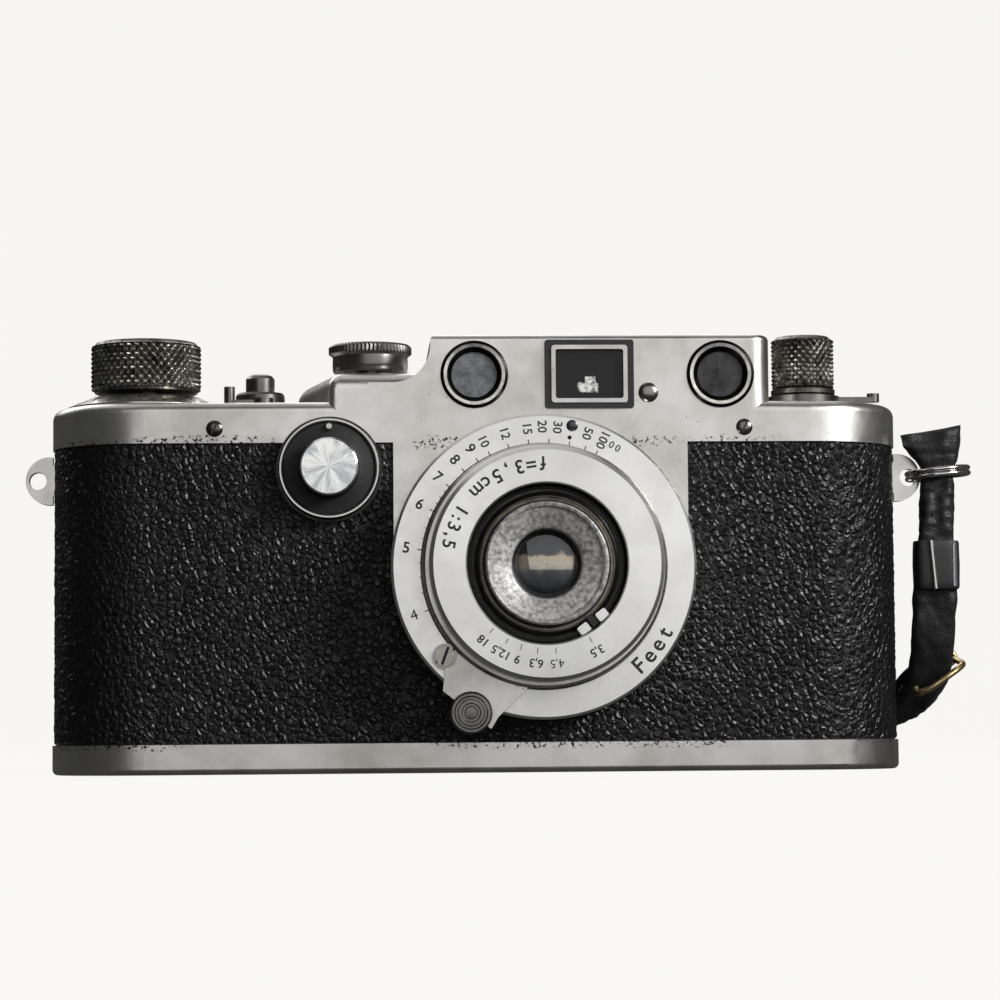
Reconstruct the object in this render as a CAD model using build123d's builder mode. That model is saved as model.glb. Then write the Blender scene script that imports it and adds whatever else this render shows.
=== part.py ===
"""A 35 mm rangefinder camera with an interchangeable 35 mm lens and a short leather hand strap.

The camera stands on its base plate. +Z is up, the lens looks along -Y and the origin is under the
middle of the camera's box, strap apart. All sizes are in millimetres. Three places are used
throughout: `yb` is measured backwards from the middle of the body's depth, `h` is measured forwards
from the body's front face, and `r` is measured outwards from the axis of a turned part.
"""

from build123d import *
import math
import os

os.makedirs("parts", exist_ok=True)

# ---------------------------------------------------------------- driving dimensions

# Body and covers
BODY_LENGTH = 136.0
BODY_DEPTH = 31.0
BASE_HEIGHT = 4.7
COVER_BOTTOM = 51.8
LOW_DECK = 58.3
PLATFORM_TOP = 63.0
HOUSING_TOP = 68.8
COVER_WALL = 0.5
DECK_WALL = 0.9
SHELL_INSET = 0.55
SHELL_WALL = 0.9
SKIN_INSET = 0.2
SKIN_GAP = 0.03
LOW_EDGE = 1.6
PLATFORM_EDGE = 2.6
HOUSING_EDGE = 0.9
BASE_EDGE = 0.9
BASE_FLOOR = 1.6
SHELL_BOTTOM = 2.0
SHELL_TOP = 57.0
SKIN_TOP_GAP = 0.1
SKIN_BOTTOM_GAP = 0.15
THROAT_R = 21.0
WALL_CUT = 3.0
CUT_PAST = 1.0
DECK_CUT = 2.0

# Housing and platform outlines
PLATFORM_LEFT = -23.4
PLATFORM_BACK_LEFT = -29.0
PLATFORM_REAR = 9.0
HOUSING_LEFT = -7.6
HOUSING_RIGHT = 46.2
HOUSING_REAR = 12.5
FLANK_RADIUS = 6.0
HOUSING_END_RADIUS = 3.0
PLATFORM_CORNER = 1.2
RAISED_FOOT = LOW_DECK - 3.0
COVER_FRONT_YB = -14.5
COVER_ROOM_LEFT = -6.4
COVER_ROOM_RIGHT = 44.9
COVER_ROOM_STEP = -5.0
COVER_ROOM_REAR = 11.5
PLATFORM_ROOM_REAR = 8.0

# Lens
LENS_X = 9.67
LENS_Z = 31.9
LENS_REACH = 14.8
FRONT_RING_R = 18.0
SCALE_RING_R = 23.74
SCALE_FACE = 6.34
NAME_RING_R = 12.2
CELL_R = 9.25
GLASS_R = 5.3
FLANGE_H = 1.8
THREAD_R = 19.35
CARRIER_R = 18.5
FOCUS_TUBE_R = 17.3
FOCUS_RIM_R = 18.9
BARREL_R = 16.1
CARRIER_REAR = -4.5
FOCUS_FACE = 9.5
IRIS_H = 6.3
CLEARANCE = 0.1
TAB_BACK = 6.8
TAB_FRONT = 7.9
TAB_CORNERS = ((-5.5, 18.9), (-6.2, 12.7), (1.2, 6.8), (2.3, 8.6), (8.3, 14.5))
INFINITY_PLACE = (-1.95, 9.28)
INFINITY_R = 3.3
INFINITY_TRAVEL = 1.0
STOP_PLACE = (-5.84, 18.05)
STOP_R = 1.75
TAB_PIN_R = 1.0
APERTURE_ANGLE = 307.7
APERTURE_TAB_R = 11.0
APERTURE_BACK = 11.6
APERTURE_FRONT = 13.0
GROOVE_FLOOR = 11.5
FLANGE_R = 22.9
FLANGE_SCREW_HEAD_R = 1.1
IRIS_BLADES = 5
IRIS_FIRST_TURN = 20
IRIS_SPACING = 0.36
BLADE_THICKNESS = 0.12
IRIS_ROOM_DEPTH = 2.2
IRIS_ROOM_R = 11.6
BLADE_IN_R = 6.1
BLADE_OUT_R = 9.6
BLADE_PIVOT_R = 7.85
BLADE_PIN_HOLE_R = 0.4
BLADE_REAR_GAP = 0.2
BLADE_START = -10
BLADE_MIDDLE = 50
BLADE_END = 112
REAR_GLASS_R = 5.6
FLANGE_SCREW_R = 21.2
FLANGE_SCREW_ANGLES = (45, 135, 225, 315)

# Windows in the housing's front
WINDOW_Z = 62.5
WINDOW_LEFT_X = -0.7
WINDOW_RIGHT_X = 38.2
WINDOW_HOLE_R = 5.36
WINDOW_RECESS = 1.4
WINDOW_GLASS_R = 3.57
FINDER_X = 17.44
FINDER_WIDTH = 14.1
FINDER_HEIGHT = 10.9
BEZEL_WIDTH = 12.0
BEZEL_HEIGHT = 9.1
FRAME_CORNER = 0.5
VIEW_WIDTH = 10.7
VIEW_HEIGHT = 7.8
EYEPIECE_X = 25.8
EYEPIECE_R = 3.6
EYEPIECE_BORE_R = 2.3
SHOE_FRONT = 1.0
SHOE_REAR = 12.4
SHOE_HALF_WIDTH = 10.2
SHOE_SLOT_HALF = 9.35
SHOE_MOUTH_HALF = 6.4
SHOE_FLOOR = HOUSING_TOP - 1.6
SHOE_PLATE = 0.7
SHOE_HEIGHT = 3.5
SHOE_SLOT_TOP = 2.75

# Controls: places on the deck and the sizes that show
ADVANCE_X = -53.13
ADVANCE_R = 8.75
ADVANCE_TOP = 69.3
ADVANCE_BOTTOM = 61.0
ADVANCE_STEM_R = 2.65
ADVANCE_SHAFT_R = 1.95
COUNTER_R = 12.6
COUNTER_TOP_R = 8.6
COUNTER_TOP = 60.4
DECK_GAP = 0.1
RIM = 0.5
RELEASE_X = -34.6
RELEASE_YB = -5.3
RELEASE_SEAT = 53.0
RELEASE_R = 2.3
RELEASE_TOP = 63.7
COLLAR_R = 3.9
COLLAR_TOP = 60.6
COLLAR_NECK_R = 2.85
SPRING_R = 1.55
WIRE_R = 0.18
SPRING_PITCH = 1.1
SPRING_HEIGHT = 3.3
SPEED_X = -17.0
SPEED_YB = -5.0
SPEED_R = 6.65
POST_R = 1.9
SPEED_TOP = 68.3
SPEED_BARREL_R = 6.1
SPEED_COLLAR_R = 2.2
SPEED_BORE_R = 1.3
DRUM_SHAFT_R = 1.25
REWIND_X = 53.5
REWIND_R = 5.0
REWIND_TOP = 70.1
REWIND_RIM = 60.5
REWIND_STEM_R = 2.25
REWIND_BORE_R = 1.25
REWIND_SHAFT_R = 1.2
REWIND_FORK_Z = 47.0
DIOPTER_R = 5.9
DIOPTER_TOP = 60.3
DIOPTER_ARM_X = 65.0
SLOW_X = -23.57
SLOW_Z = 47.58
SLOW_R = 7.65
SLOW_SEAT_R = 8.3
SLOW_HOLE_R = 8.35
SLOW_SHAFT_R = 1.2
SLOW_BUSH_R = 2.9
SLOW_STUD = (-23.6, 54.4)
LEVER_X = -34.0
LEVER_YB = -11.0
LEVER_ARM = 5.3
LEVER_PIN_TOP = 61.1
LEVER_PIN_R = 0.85
LEVER_PIVOT_R = 0.8
HOLE_GAP = 0.05
KEY_X = REWIND_X
KEY_R = 7.4
KEY_RECESS = 1.05
KEY_SHAFT_R = 2.0
KEY_TONGUE = 9.6
SOCKET_X = ADVANCE_X
SOCKET_R = 2.55
SOCKET_DEPTH = 6.0
BUSH_R = 5.5

# Inside the body
CRATE_LEFT = -28.0
CRATE_RIGHT = 39.5
CRATE_BOTTOM = 6.0
CRATE_TOP = 54.0
CRATE_FRONT = -13.9
CRATE_REAR = 10.8
CRATE_WALL = 1.5
CRATE_FACE_WALL = 1.3
CRATE_THROAT_R = 19.6
CRATE_CUT = 3.5
CURTAIN_LEFT = -20.0
CURTAIN_RIGHT = 35.0
CURTAIN_HALF_HEIGHT = 15.0
CLOTH = 0.2
LATH = 1.2
PIVOT_GAP = 1.8
ROLLER_X = 32.5
ROLLER_YB = 2.0
ROLLER_R = 3.2
ROLLER_SHAFT_R = 2.6
DRUM_R = 5.6
DRUM_HALF_HEIGHT = 16.0
ARM_X = -2.5
ARM_YB = -6.0
ARM_Z = 49.3
ROLLER_REST = -9.4
ARM_THICKNESS = 1.2
ARM_POST_R = 1.0
FOLLOWER_R = 1.5
MIRROR = (7.0, 0.8, 4.8)
SPEED_BODY_Z = 63.8
SPOOL_BOTTOM = 9.0
SPOOL_R = 5.0
SPOOL_FLANGE_R = 9.5
SPOOL_FLANGE = 1.2

# Film path
GATE_WIDTH = 36.0
GATE_HEIGHT = 24.0
GATE_PLATE = 0.3
RAIL_OFFSET = 14.0
RAIL_HALF = 1.2
PLATE_HALF_WIDTH = 27.0
PLATE_HALF_HEIGHT = 17.5
PLATE_YB = 11.7
SPROCKET_X = -36.7
SPROCKET_YB = 5.6
SPROCKET_R = 5.6
SPROCKET_WAIST_R = 4.4
SPROCKET_SHAFT_R = 1.5
SPROCKET_ROW = 14.1
FILM_TEETH = 8
ADVANCE_TEETH = 24
SPROCKET_TEETH = 18
GEAR_Z = 54.0
GEAR_THICKNESS = 1.8
SPOOL_TOP = GEAR_Z - 2.6

# Screws in the front
COVER_SCREWS = (-41.5, 41.9)
COVER_SCREW_Z = 54.05
COVER_SCREW_R = 1.35
SCREW_SHANK = 0.7
ADJUSTER_X = 26.76
ADJUSTER_Z = 59.57
ADJUSTER_R = 1.65

# Strap lugs and strap
LUG_Z = 47.1
LUG_R = 3.85
LUG_HOLE_X = 70.4
LUG_HOLE_R = 1.4
LUG_THICKNESS = 2.0
LUG_SLOT_HALF = 1.05
LUG_TANG = (4.5, 5.0)
RING_R = 4.95
RING_X = 75.4
RING_WIRE = 0.45
RING_HALF_HEIGHT = 0.85
STRAP_CORD_R = 1.3
BEND_SHARE = 0.45
STRAP_ROUTE = (
    (75.0, 4.8, 54.5), (74.6, 4.8, 39.5), (73.9, 4.8, 24.5), (73.8, 9.0, 13.0), (68.5, 22.5, 7.0),
    (52.0, 33.5, 4.0), (28.0, 36.0, 3.8), (4.0, 35.0, 3.8), (-9.0, 41.0, 3.8), (-10.0, 52.0, 3.8),
    (2.0, 60.0, 3.8), (26.0, 60.0, 3.8), (48.0, 53.0, 3.8), (63.0, 40.0, 4.5), (71.5, 27.0, 9.5),
    (74.5, 15.0, 16.0),
)
KEEPER_X = 74.4
KEEPER_Z = 32.7
KEEPER_WIDTH = 7.8
KEEPER_HEIGHT = 7.8
KEEPER_DEPTH = 5.0
KEEPER_WALL = 0.5
HOOK_OFFSET = Vector(1.4, -2.0, 1.6)

# The camera's box runs from the lens's front to the body's back, and its middle is y = 0.
MID_Y = LENS_REACH / 2
FRONT_Y = MID_Y - BODY_DEPTH / 2
BACK_YB = BODY_DEPTH / 2
TINY = 0.02


# ---------------------------------------------------------------- helpers


def facing(h, x=0.0, z=0.0):
    """A plane in front of the body by h. Its x is X, its y is Z, and it extrudes towards the viewer."""
    return Plane(origin=(x, FRONT_Y - h, z), x_dir=(1, 0, 0), z_dir=(0, -1, 0))


def backward(yb, x=0.0, z=0.0):
    """The same plane, placed by its distance behind the body's middle."""
    return Plane(origin=(x, MID_Y + yb, z), x_dir=(1, 0, 0), z_dir=(0, -1, 0))


def spin(plane, axis, points, mode=Mode.ADD):
    """Turns a closed outline about an axis, inside a part's block."""
    with BuildSketch(plane) as outline:
        with BuildLine():
            Polyline(*points, close=True)
        make_face()
    revolve(outline.sketch, axis=axis, mode=mode)


def spin_upright(x, yb, points, mode=Mode.ADD):
    """Turns an outline of (r, z) points about an upright axis."""
    place = (x, MID_Y + yb, 0)
    spin(Plane(origin=place, x_dir=(1, 0, 0), z_dir=(0, -1, 0)), Axis(place, (0, 0, 1)), points, mode)


def spin_forward(x, z, points, mode=Mode.ADD):
    """Turns an outline of (r, h) points about an axis that runs forwards."""
    place = (x, FRONT_Y, z)
    spin(Plane(origin=place, x_dir=(1, 0, 0), z_dir=(0, 0, -1)), Axis(place, (0, -1, 0)), points, mode)


def spin_lens(points, mode=Mode.ADD):
    spin_forward(LENS_X, LENS_Z, points, mode)


def block(x0, x1, yb0, yb1, z0, z1, mode=Mode.ADD):
    """A box between two corners, inside a part's block."""
    with Locations(((x0 + x1) / 2, MID_Y + (yb0 + yb1) / 2, (z0 + z1) / 2)):
        Box(x1 - x0, yb1 - yb0, z1 - z0, mode=mode)


def rod(x, yb, z0, z1, radius, mode=Mode.ADD):
    """An upright cylinder, inside a part's block."""
    with Locations((x, MID_Y + yb, (z0 + z1) / 2)):
        Cylinder(radius, z1 - z0, mode=mode)


def peg(x, z, h0, h1, radius, mode=Mode.ADD):
    """A cylinder that runs forwards from h0 to h1, inside a part's block."""
    with BuildSketch(facing(h0, x, z)) as outline:
        Circle(radius)
    extrude(outline.sketch, amount=h1 - h0, mode=mode)


def stadium(inset, z0, z1, mode=Mode.ADD):
    """The body's round-ended outline, inset all round, inside a part's block."""
    with BuildSketch(Plane.XY.offset(z0)) as outline:
        with Locations((0, MID_Y)):
            SlotOverall(BODY_LENGTH - 2 * inset, BODY_DEPTH - 2 * inset)
    extrude(outline.sketch, amount=z1 - z0, mode=mode)


def front_hole(x, z, radius, depth=WALL_CUT):
    """A hole drilled into the front, inside a part's block."""
    peg(x, z, -depth, CUT_PAST, radius, mode=Mode.SUBTRACT)


def deck_hole(x, yb, deck, radius, depth=DECK_CUT):
    """A hole drilled down into a deck, inside a part's block."""
    rod(x, yb, deck - depth, deck + CUT_PAST, radius, mode=Mode.SUBTRACT)


def lug_slots(half_height):
    """Slots for the strap lugs through both ends of the body, inside a part's block."""
    reach = BODY_LENGTH / 2 + CUT_PAST
    block(-reach, reach, -LUG_SLOT_HALF, LUG_SLOT_HALF, LUG_Z - half_height, LUG_Z + half_height,
          mode=Mode.SUBTRACT)


def polar(radius, degrees):
    """(x, z) of a point on the lens's face, from its distance and angle round the lens's axis."""
    angle = math.radians(degrees)
    return LENS_X + radius * math.cos(angle), LENS_Z + radius * math.sin(angle)


def apron_outline(margin):
    """The cover's front apron: straight sides down to the lens's axis and a half circle below it."""
    half = SCALE_RING_R - 0.55 + margin
    height = COVER_BOTTOM + 1.0 - LENS_Z
    Circle(half)
    with Locations((0, height / 2)):
        Rectangle(2 * half, height)


def slotted_screw(plane_of, head_r, head_height, depth, slot=0.35, turn=0.0):
    """A flat-headed screw with a slot, on a plane that points out of the surface, inside a part's block."""
    with BuildSketch(plane_of) as head:
        Circle(head_r)
    extrude(head.sketch, amount=head_height)
    with BuildSketch(plane_of) as shank:
        Circle(SCREW_SHANK)
    extrude(shank.sketch, amount=-depth)
    with BuildSketch(plane_of.offset(head_height)) as groove:
        Rectangle(2.2 * head_r, slot, rotation=turn)
    extrude(groove.sketch, amount=-head_height * 0.5, mode=Mode.SUBTRACT)


def save(piece, name):
    piece.part.label = name
    export_step(piece.part, f"parts/{name}.step")


# ---------------------------------------------------------------- body shell, covering, covers

with BuildPart() as body_shell:
    stadium(SHELL_INSET, SHELL_BOTTOM, SHELL_TOP)
    stadium(SHELL_INSET + SHELL_WALL, SHELL_BOTTOM - CUT_PAST, LOW_DECK, mode=Mode.SUBTRACT)
    front_hole(LENS_X, LENS_Z, THROAT_R)
    front_hole(SLOW_X, SLOW_Z, SLOW_BUSH_R + CLEARANCE)
    lug_slots(LUG_TANG[1] / 2 + 0.05)
    for screw_x in COVER_SCREWS:
        front_hole(screw_x, COVER_SCREW_Z, SCREW_SHANK + TINY)
save(body_shell, "body_shell")

with BuildPart() as body_covering:
    stadium(SKIN_INSET, BASE_HEIGHT + SKIN_BOTTOM_GAP, COVER_BOTTOM - SKIN_TOP_GAP)
    stadium(SHELL_INSET - SKIN_GAP, BASE_HEIGHT, COVER_BOTTOM, mode=Mode.SUBTRACT)
    with BuildSketch(facing(-WALL_CUT, LENS_X, LENS_Z)):
        apron_outline(CLEARANCE)
    extrude(amount=WALL_CUT + CUT_PAST, mode=Mode.SUBTRACT)
    front_hole(SLOW_X, SLOW_Z, SLOW_HOLE_R)
    lug_slots(LUG_TANG[1] / 2 + 0.15)
save(body_covering, "body_covering")

# The housing is the raised block with the windows. Its left flank sweeps down in a hollow curve.
with BuildPart() as housing:
    with BuildSketch(facing(0.0)):
        with BuildLine():
            step_x = PLATFORM_LEFT + FLANK_RADIUS
            ledge = PLATFORM_TOP - PLATFORM_EDGE + HOUSING_EDGE
            start = (HOUSING_LEFT - FLANK_RADIUS, ledge)
            Polyline((step_x, RAISED_FOOT), (step_x, ledge), start)
            RadiusArc(start, (HOUSING_LEFT, ledge + FLANK_RADIUS), -FLANK_RADIUS)
            Polyline(
                (HOUSING_LEFT, ledge + FLANK_RADIUS),
                (HOUSING_LEFT, HOUSING_TOP),
                (HOUSING_RIGHT, HOUSING_TOP),
                (HOUSING_RIGHT, RAISED_FOOT),
                (step_x, RAISED_FOOT),
            )
        make_face()
    extrude(amount=-(BACK_YB + HOUSING_REAR))
    fillet(housing.edges().filter_by(Axis.Z).group_by(Axis.X)[-1], HOUSING_END_RADIUS)
    fillet(housing.faces().sort_by(Axis.Z)[-1].edges(), HOUSING_EDGE)

with BuildPart() as platform:
    with BuildSketch(Plane.XY.offset(RAISED_FOOT)):
        with BuildLine():
            Polyline(
                (PLATFORM_LEFT, FRONT_Y),
                (PLATFORM_BACK_LEFT, MID_Y + PLATFORM_REAR),
                (0, MID_Y + PLATFORM_REAR),
                (0, FRONT_Y),
                close=True,
            )
        make_face()
    extrude(amount=PLATFORM_TOP - RAISED_FOOT)
    fillet(platform.edges().filter_by(Axis.Z).sort_by(Axis.X)[:2], PLATFORM_CORNER)
    fillet(platform.faces().sort_by(Axis.Z)[-1].edges().sort_by(Axis.X)[:-1], PLATFORM_EDGE)

with BuildPart() as top_cover:
    stadium(0.0, COVER_BOTTOM, LOW_DECK)
    fillet(top_cover.edges().group_by(Axis.Z)[-1], LOW_EDGE)
    add(platform.part)
    add(housing.part)
    stadium(COVER_WALL, COVER_BOTTOM - CUT_PAST, LOW_DECK - DECK_WALL, mode=Mode.SUBTRACT)
    block(PLATFORM_LEFT + 1.2, 0, COVER_FRONT_YB, PLATFORM_ROOM_REAR,
          LOW_DECK - DECK_CUT, PLATFORM_TOP - 1.1, mode=Mode.SUBTRACT)
    for room_rear, roof in ((COVER_ROOM_STEP, 1.0), (COVER_ROOM_REAR, 2.5)):
        block(COVER_ROOM_LEFT, COVER_ROOM_RIGHT, COVER_FRONT_YB, room_rear,
              LOW_DECK - DECK_CUT, HOUSING_TOP - roof, mode=Mode.SUBTRACT)
    with BuildSketch(facing(-COVER_WALL, LENS_X, LENS_Z)):
        apron_outline(0.0)
    extrude(amount=COVER_WALL)
    front_hole(LENS_X, LENS_Z, THROAT_R, COVER_WALL)
    for window_x in (WINDOW_LEFT_X, WINDOW_RIGHT_X):
        front_hole(window_x, WINDOW_Z, WINDOW_HOLE_R, WINDOW_RECESS)
    with BuildSketch(facing(-WINDOW_RECESS, FINDER_X, WINDOW_Z)):
        RectangleRounded(FINDER_WIDTH, FINDER_HEIGHT, FRAME_CORNER)
    extrude(amount=WINDOW_RECESS + CUT_PAST, mode=Mode.SUBTRACT)
    for eye_x in (FINDER_X, EYEPIECE_X):
        with BuildSketch(backward(HOUSING_REAR + CUT_PAST, eye_x, WINDOW_Z)):
            Circle(EYEPIECE_R)
        extrude(amount=WALL_CUT, mode=Mode.SUBTRACT)
    front_hole(SLOW_X, SLOW_Z, SLOW_HOLE_R, 1.2)
    for screw_x in COVER_SCREWS:
        front_hole(screw_x, COVER_SCREW_Z, SCREW_SHANK + TINY)
    front_hole(ADJUSTER_X, ADJUSTER_Z, SCREW_SHANK + TINY)
    deck_hole(ADVANCE_X, 0, LOW_DECK, ADVANCE_STEM_R + HOLE_GAP)
    deck_hole(RELEASE_X, RELEASE_YB, LOW_DECK, COLLAR_NECK_R + HOLE_GAP)
    deck_hole(LEVER_X, LEVER_YB, LOW_DECK, LEVER_PIVOT_R + HOLE_GAP)
    deck_hole(SPEED_X, SPEED_YB, PLATFORM_TOP, SPEED_COLLAR_R + CLEARANCE, WALL_CUT)
    deck_hole(REWIND_X, 0, LOW_DECK, REWIND_STEM_R + HOLE_GAP)
    block(FINDER_X - SHOE_HALF_WIDTH - CLEARANCE, FINDER_X + SHOE_HALF_WIDTH + CLEARANCE,
          SHOE_FRONT - CLEARANCE, HOUSING_REAR + CLEARANCE, SHOE_FLOOR, HOUSING_TOP + CUT_PAST,
          mode=Mode.SUBTRACT)
save(top_cover, "top_cover")

with BuildPart() as base_plate:
    stadium(0.0, 0.0, BASE_HEIGHT)
    fillet(base_plate.faces().sort_by(Axis.Z)[0].edges(), BASE_EDGE)
    stadium(COVER_WALL, BASE_FLOOR, BASE_HEIGHT + CUT_PAST, mode=Mode.SUBTRACT)
    rod(KEY_X, 0, -CUT_PAST, KEY_RECESS, KEY_R + CLEARANCE, mode=Mode.SUBTRACT)
    rod(KEY_X, 0, -CUT_PAST, BASE_FLOOR + CUT_PAST, KEY_SHAFT_R + HOLE_GAP, mode=Mode.SUBTRACT)
    rod(SOCKET_X, 0, -CUT_PAST, BASE_FLOOR + CUT_PAST, BUSH_R, mode=Mode.SUBTRACT)
save(base_plate, "base_plate")

# The key's folding grip is drawn as a ridge across its disc. The tongue above it hooks the body.
with BuildPart() as base_key:
    rod(KEY_X, 0, 0.35, 0.95, KEY_R)
    block(KEY_X - KEY_R + 0.6, KEY_X + KEY_R - 0.6, -0.6, 0.6, 0.1, 0.6)
    rod(KEY_X, 0, 0.6, 3.3, KEY_SHAFT_R)
    block(KEY_X - 1.5, KEY_X + KEY_TONGUE, -1.5, 1.5, 2.2, 3.3)
save(base_key, "base_key")

with BuildPart() as tripod_bush:
    rod(SOCKET_X, 0, 0.0, SOCKET_DEPTH + 1.0, BUSH_R)
    rod(SOCKET_X, 0, -CUT_PAST, SOCKET_DEPTH, SOCKET_R, mode=Mode.SUBTRACT)
save(tripod_bush, "tripod_bush")

# ---------------------------------------------------------------- fixings on the covers

with BuildPart() as cover_screws:
    for screw_x in COVER_SCREWS:
        slotted_screw(facing(0.0, screw_x, COVER_SCREW_Z), COVER_SCREW_R, 0.45, 1.4, turn=50)
save(cover_screws, "cover_screws")

with BuildPart() as adjuster_cap:
    slotted_screw(facing(0.0, ADJUSTER_X, ADJUSTER_Z), ADJUSTER_R, 0.5, 1.3, turn=20)
save(adjuster_cap, "adjuster_cap")

with BuildPart() as strap_lugs:
    for side in (-1, 1):
        inward = (Align.MAX if side > 0 else Align.MIN, Align.CENTER)
        with BuildSketch(backward(-LUG_THICKNESS / 2, 0, LUG_Z)):
            with Locations((side * (LUG_HOLE_X - 1.9), 0)):
                Circle(LUG_R)
            with Locations((side * BODY_LENGTH / 2, 0)):
                Rectangle(3.0, 3 * LUG_R, align=inward, mode=Mode.SUBTRACT)
                Rectangle(*LUG_TANG, align=inward)
            with Locations((side * LUG_HOLE_X, 0)):
                Circle(LUG_HOLE_R, mode=Mode.SUBTRACT)
        extrude(amount=-LUG_THICKNESS)
save(strap_lugs, "strap_lugs")

with BuildPart() as accessory_shoe:
    block(FINDER_X - SHOE_HALF_WIDTH, FINDER_X + SHOE_HALF_WIDTH, SHOE_FRONT, SHOE_REAR,
          SHOE_FLOOR, SHOE_FLOOR + SHOE_HEIGHT)
    block(FINDER_X - SHOE_SLOT_HALF, FINDER_X + SHOE_SLOT_HALF, SHOE_FRONT + 1.2, SHOE_REAR + CUT_PAST,
          SHOE_FLOOR + SHOE_PLATE, SHOE_FLOOR + SHOE_SLOT_TOP, mode=Mode.SUBTRACT)
    block(FINDER_X - SHOE_MOUTH_HALF, FINDER_X + SHOE_MOUTH_HALF, SHOE_FRONT - CUT_PAST, SHOE_REAR + CUT_PAST,
          SHOE_FLOOR + SHOE_PLATE, SHOE_FLOOR + SHOE_HEIGHT + CUT_PAST, mode=Mode.SUBTRACT)
save(accessory_shoe, "accessory_shoe")

# ---------------------------------------------------------------- crate, shutter and film path

with BuildPart() as shutter_crate:
    block(CRATE_LEFT, CRATE_RIGHT, CRATE_FRONT, CRATE_REAR, CRATE_BOTTOM, CRATE_TOP)
    block(CRATE_LEFT + CRATE_WALL, CRATE_RIGHT - CRATE_WALL, CRATE_FRONT + CRATE_FACE_WALL,
          CRATE_REAR - CRATE_FACE_WALL, CRATE_BOTTOM + CRATE_WALL, CRATE_TOP - CRATE_WALL, mode=Mode.SUBTRACT)
    front_hole(LENS_X, LENS_Z, CRATE_THROAT_R, CRATE_CUT)
    block(LENS_X - GATE_WIDTH / 2 - CUT_PAST, LENS_X + GATE_WIDTH / 2 + CUT_PAST,
          CRATE_REAR - DECK_CUT, CRATE_REAR + CUT_PAST,
          LENS_Z - GATE_HEIGHT / 2 - CUT_PAST, LENS_Z + GATE_HEIGHT / 2 + CUT_PAST, mode=Mode.SUBTRACT)
    deck_hole(SPEED_X, SPEED_YB, CRATE_TOP, DRUM_SHAFT_R + HOLE_GAP)
    deck_hole(ARM_X, ARM_YB, CRATE_TOP, ARM_POST_R + CLEARANCE)
    front_hole(SLOW_X, SLOW_Z, SLOW_SHAFT_R + CLEARANCE, CRATE_CUT)
save(shutter_crate, "shutter_crate")

with BuildPart() as film_gate:
    block(CRATE_LEFT, CRATE_RIGHT, CRATE_REAR, CRATE_REAR + GATE_PLATE, CRATE_BOTTOM + 1, CRATE_TOP - 1)
    for rail_z in (LENS_Z - RAIL_OFFSET, LENS_Z + RAIL_OFFSET):
        block(CRATE_LEFT, CRATE_RIGHT, CRATE_REAR + GATE_PLATE, CRATE_REAR + 2 * GATE_PLATE,
              rail_z - RAIL_HALF, rail_z + RAIL_HALF)
    block(LENS_X - GATE_WIDTH / 2, LENS_X + GATE_WIDTH / 2, CRATE_REAR - CUT_PAST, CRATE_REAR + CUT_PAST,
          LENS_Z - GATE_HEIGHT / 2, LENS_Z + GATE_HEIGHT / 2, mode=Mode.SUBTRACT)
save(film_gate, "film_gate")

with BuildPart() as pressure_plate:
    block(LENS_X - PLATE_HALF_WIDTH, LENS_X + PLATE_HALF_WIDTH, PLATE_YB, PLATE_YB + 1.0,
          LENS_Z - PLATE_HALF_HEIGHT, LENS_Z + PLATE_HALF_HEIGHT)
    for spring_x in (LENS_X - PLATE_HALF_WIDTH / 2, LENS_X + PLATE_HALF_WIDTH / 2):
        block(spring_x - 1.5, spring_x + 1.5, PLATE_YB + 0.9, PLATE_YB + 2.3, LENS_Z - 10, LENS_Z + 10)
save(pressure_plate, "pressure_plate")

# Each of the two curtains is cloth that hangs flat behind the lens, with a lath on its edge.
with BuildPart() as shutter_curtains:
    low_z, high_z = LENS_Z - CURTAIN_HALF_HEIGHT, LENS_Z + CURTAIN_HALF_HEIGHT
    for cloth_yb, lath_x in ((8.0, CURTAIN_RIGHT - 6.0), (7.2, CURTAIN_LEFT + 14.0)):
        block(CURTAIN_LEFT, lath_x, cloth_yb, cloth_yb + CLOTH, low_z, high_z)
        block(lath_x, lath_x + LATH, cloth_yb - CLOTH, cloth_yb + CLOTH, low_z, high_z)
save(shutter_curtains, "shutter_curtains")

with BuildPart() as curtain_roller:
    rod(ROLLER_X, ROLLER_YB, CRATE_BOTTOM + PIVOT_GAP, CRATE_TOP - PIVOT_GAP, ROLLER_SHAFT_R)
    rod(ROLLER_X, ROLLER_YB, LENS_Z - DRUM_HALF_HEIGHT, LENS_Z + DRUM_HALF_HEIGHT, ROLLER_R)
save(curtain_roller, "curtain_roller")

with BuildPart() as shutter_drum:
    rod(SPEED_X, SPEED_YB, LENS_Z - DRUM_HALF_HEIGHT, LENS_Z + DRUM_HALF_HEIGHT, DRUM_R)
    rod(SPEED_X, SPEED_YB, CRATE_BOTTOM + PIVOT_GAP, SPEED_BODY_Z + 0.6, DRUM_SHAFT_R)
save(shutter_drum, "shutter_drum")

with BuildPart() as take_up_spool:
    rod(ADVANCE_X, 0, SPOOL_BOTTOM, SPOOL_TOP, SPOOL_R)
    for flange_z in (SPOOL_BOTTOM, SPOOL_TOP - SPOOL_FLANGE):
        rod(ADVANCE_X, 0, flange_z, flange_z + SPOOL_FLANGE, SPOOL_FLANGE_R)
    deck_hole(ADVANCE_X, 0, SPOOL_TOP, ADVANCE_SHAFT_R + 0.15)
    block(ADVANCE_X - SPOOL_R - CUT_PAST, ADVANCE_X + SPOOL_R + CUT_PAST, -0.4, 0.4,
          SPOOL_BOTTOM + 12, SPOOL_TOP - 13.4, mode=Mode.SUBTRACT)
save(take_up_spool, "take_up_spool")


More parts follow.
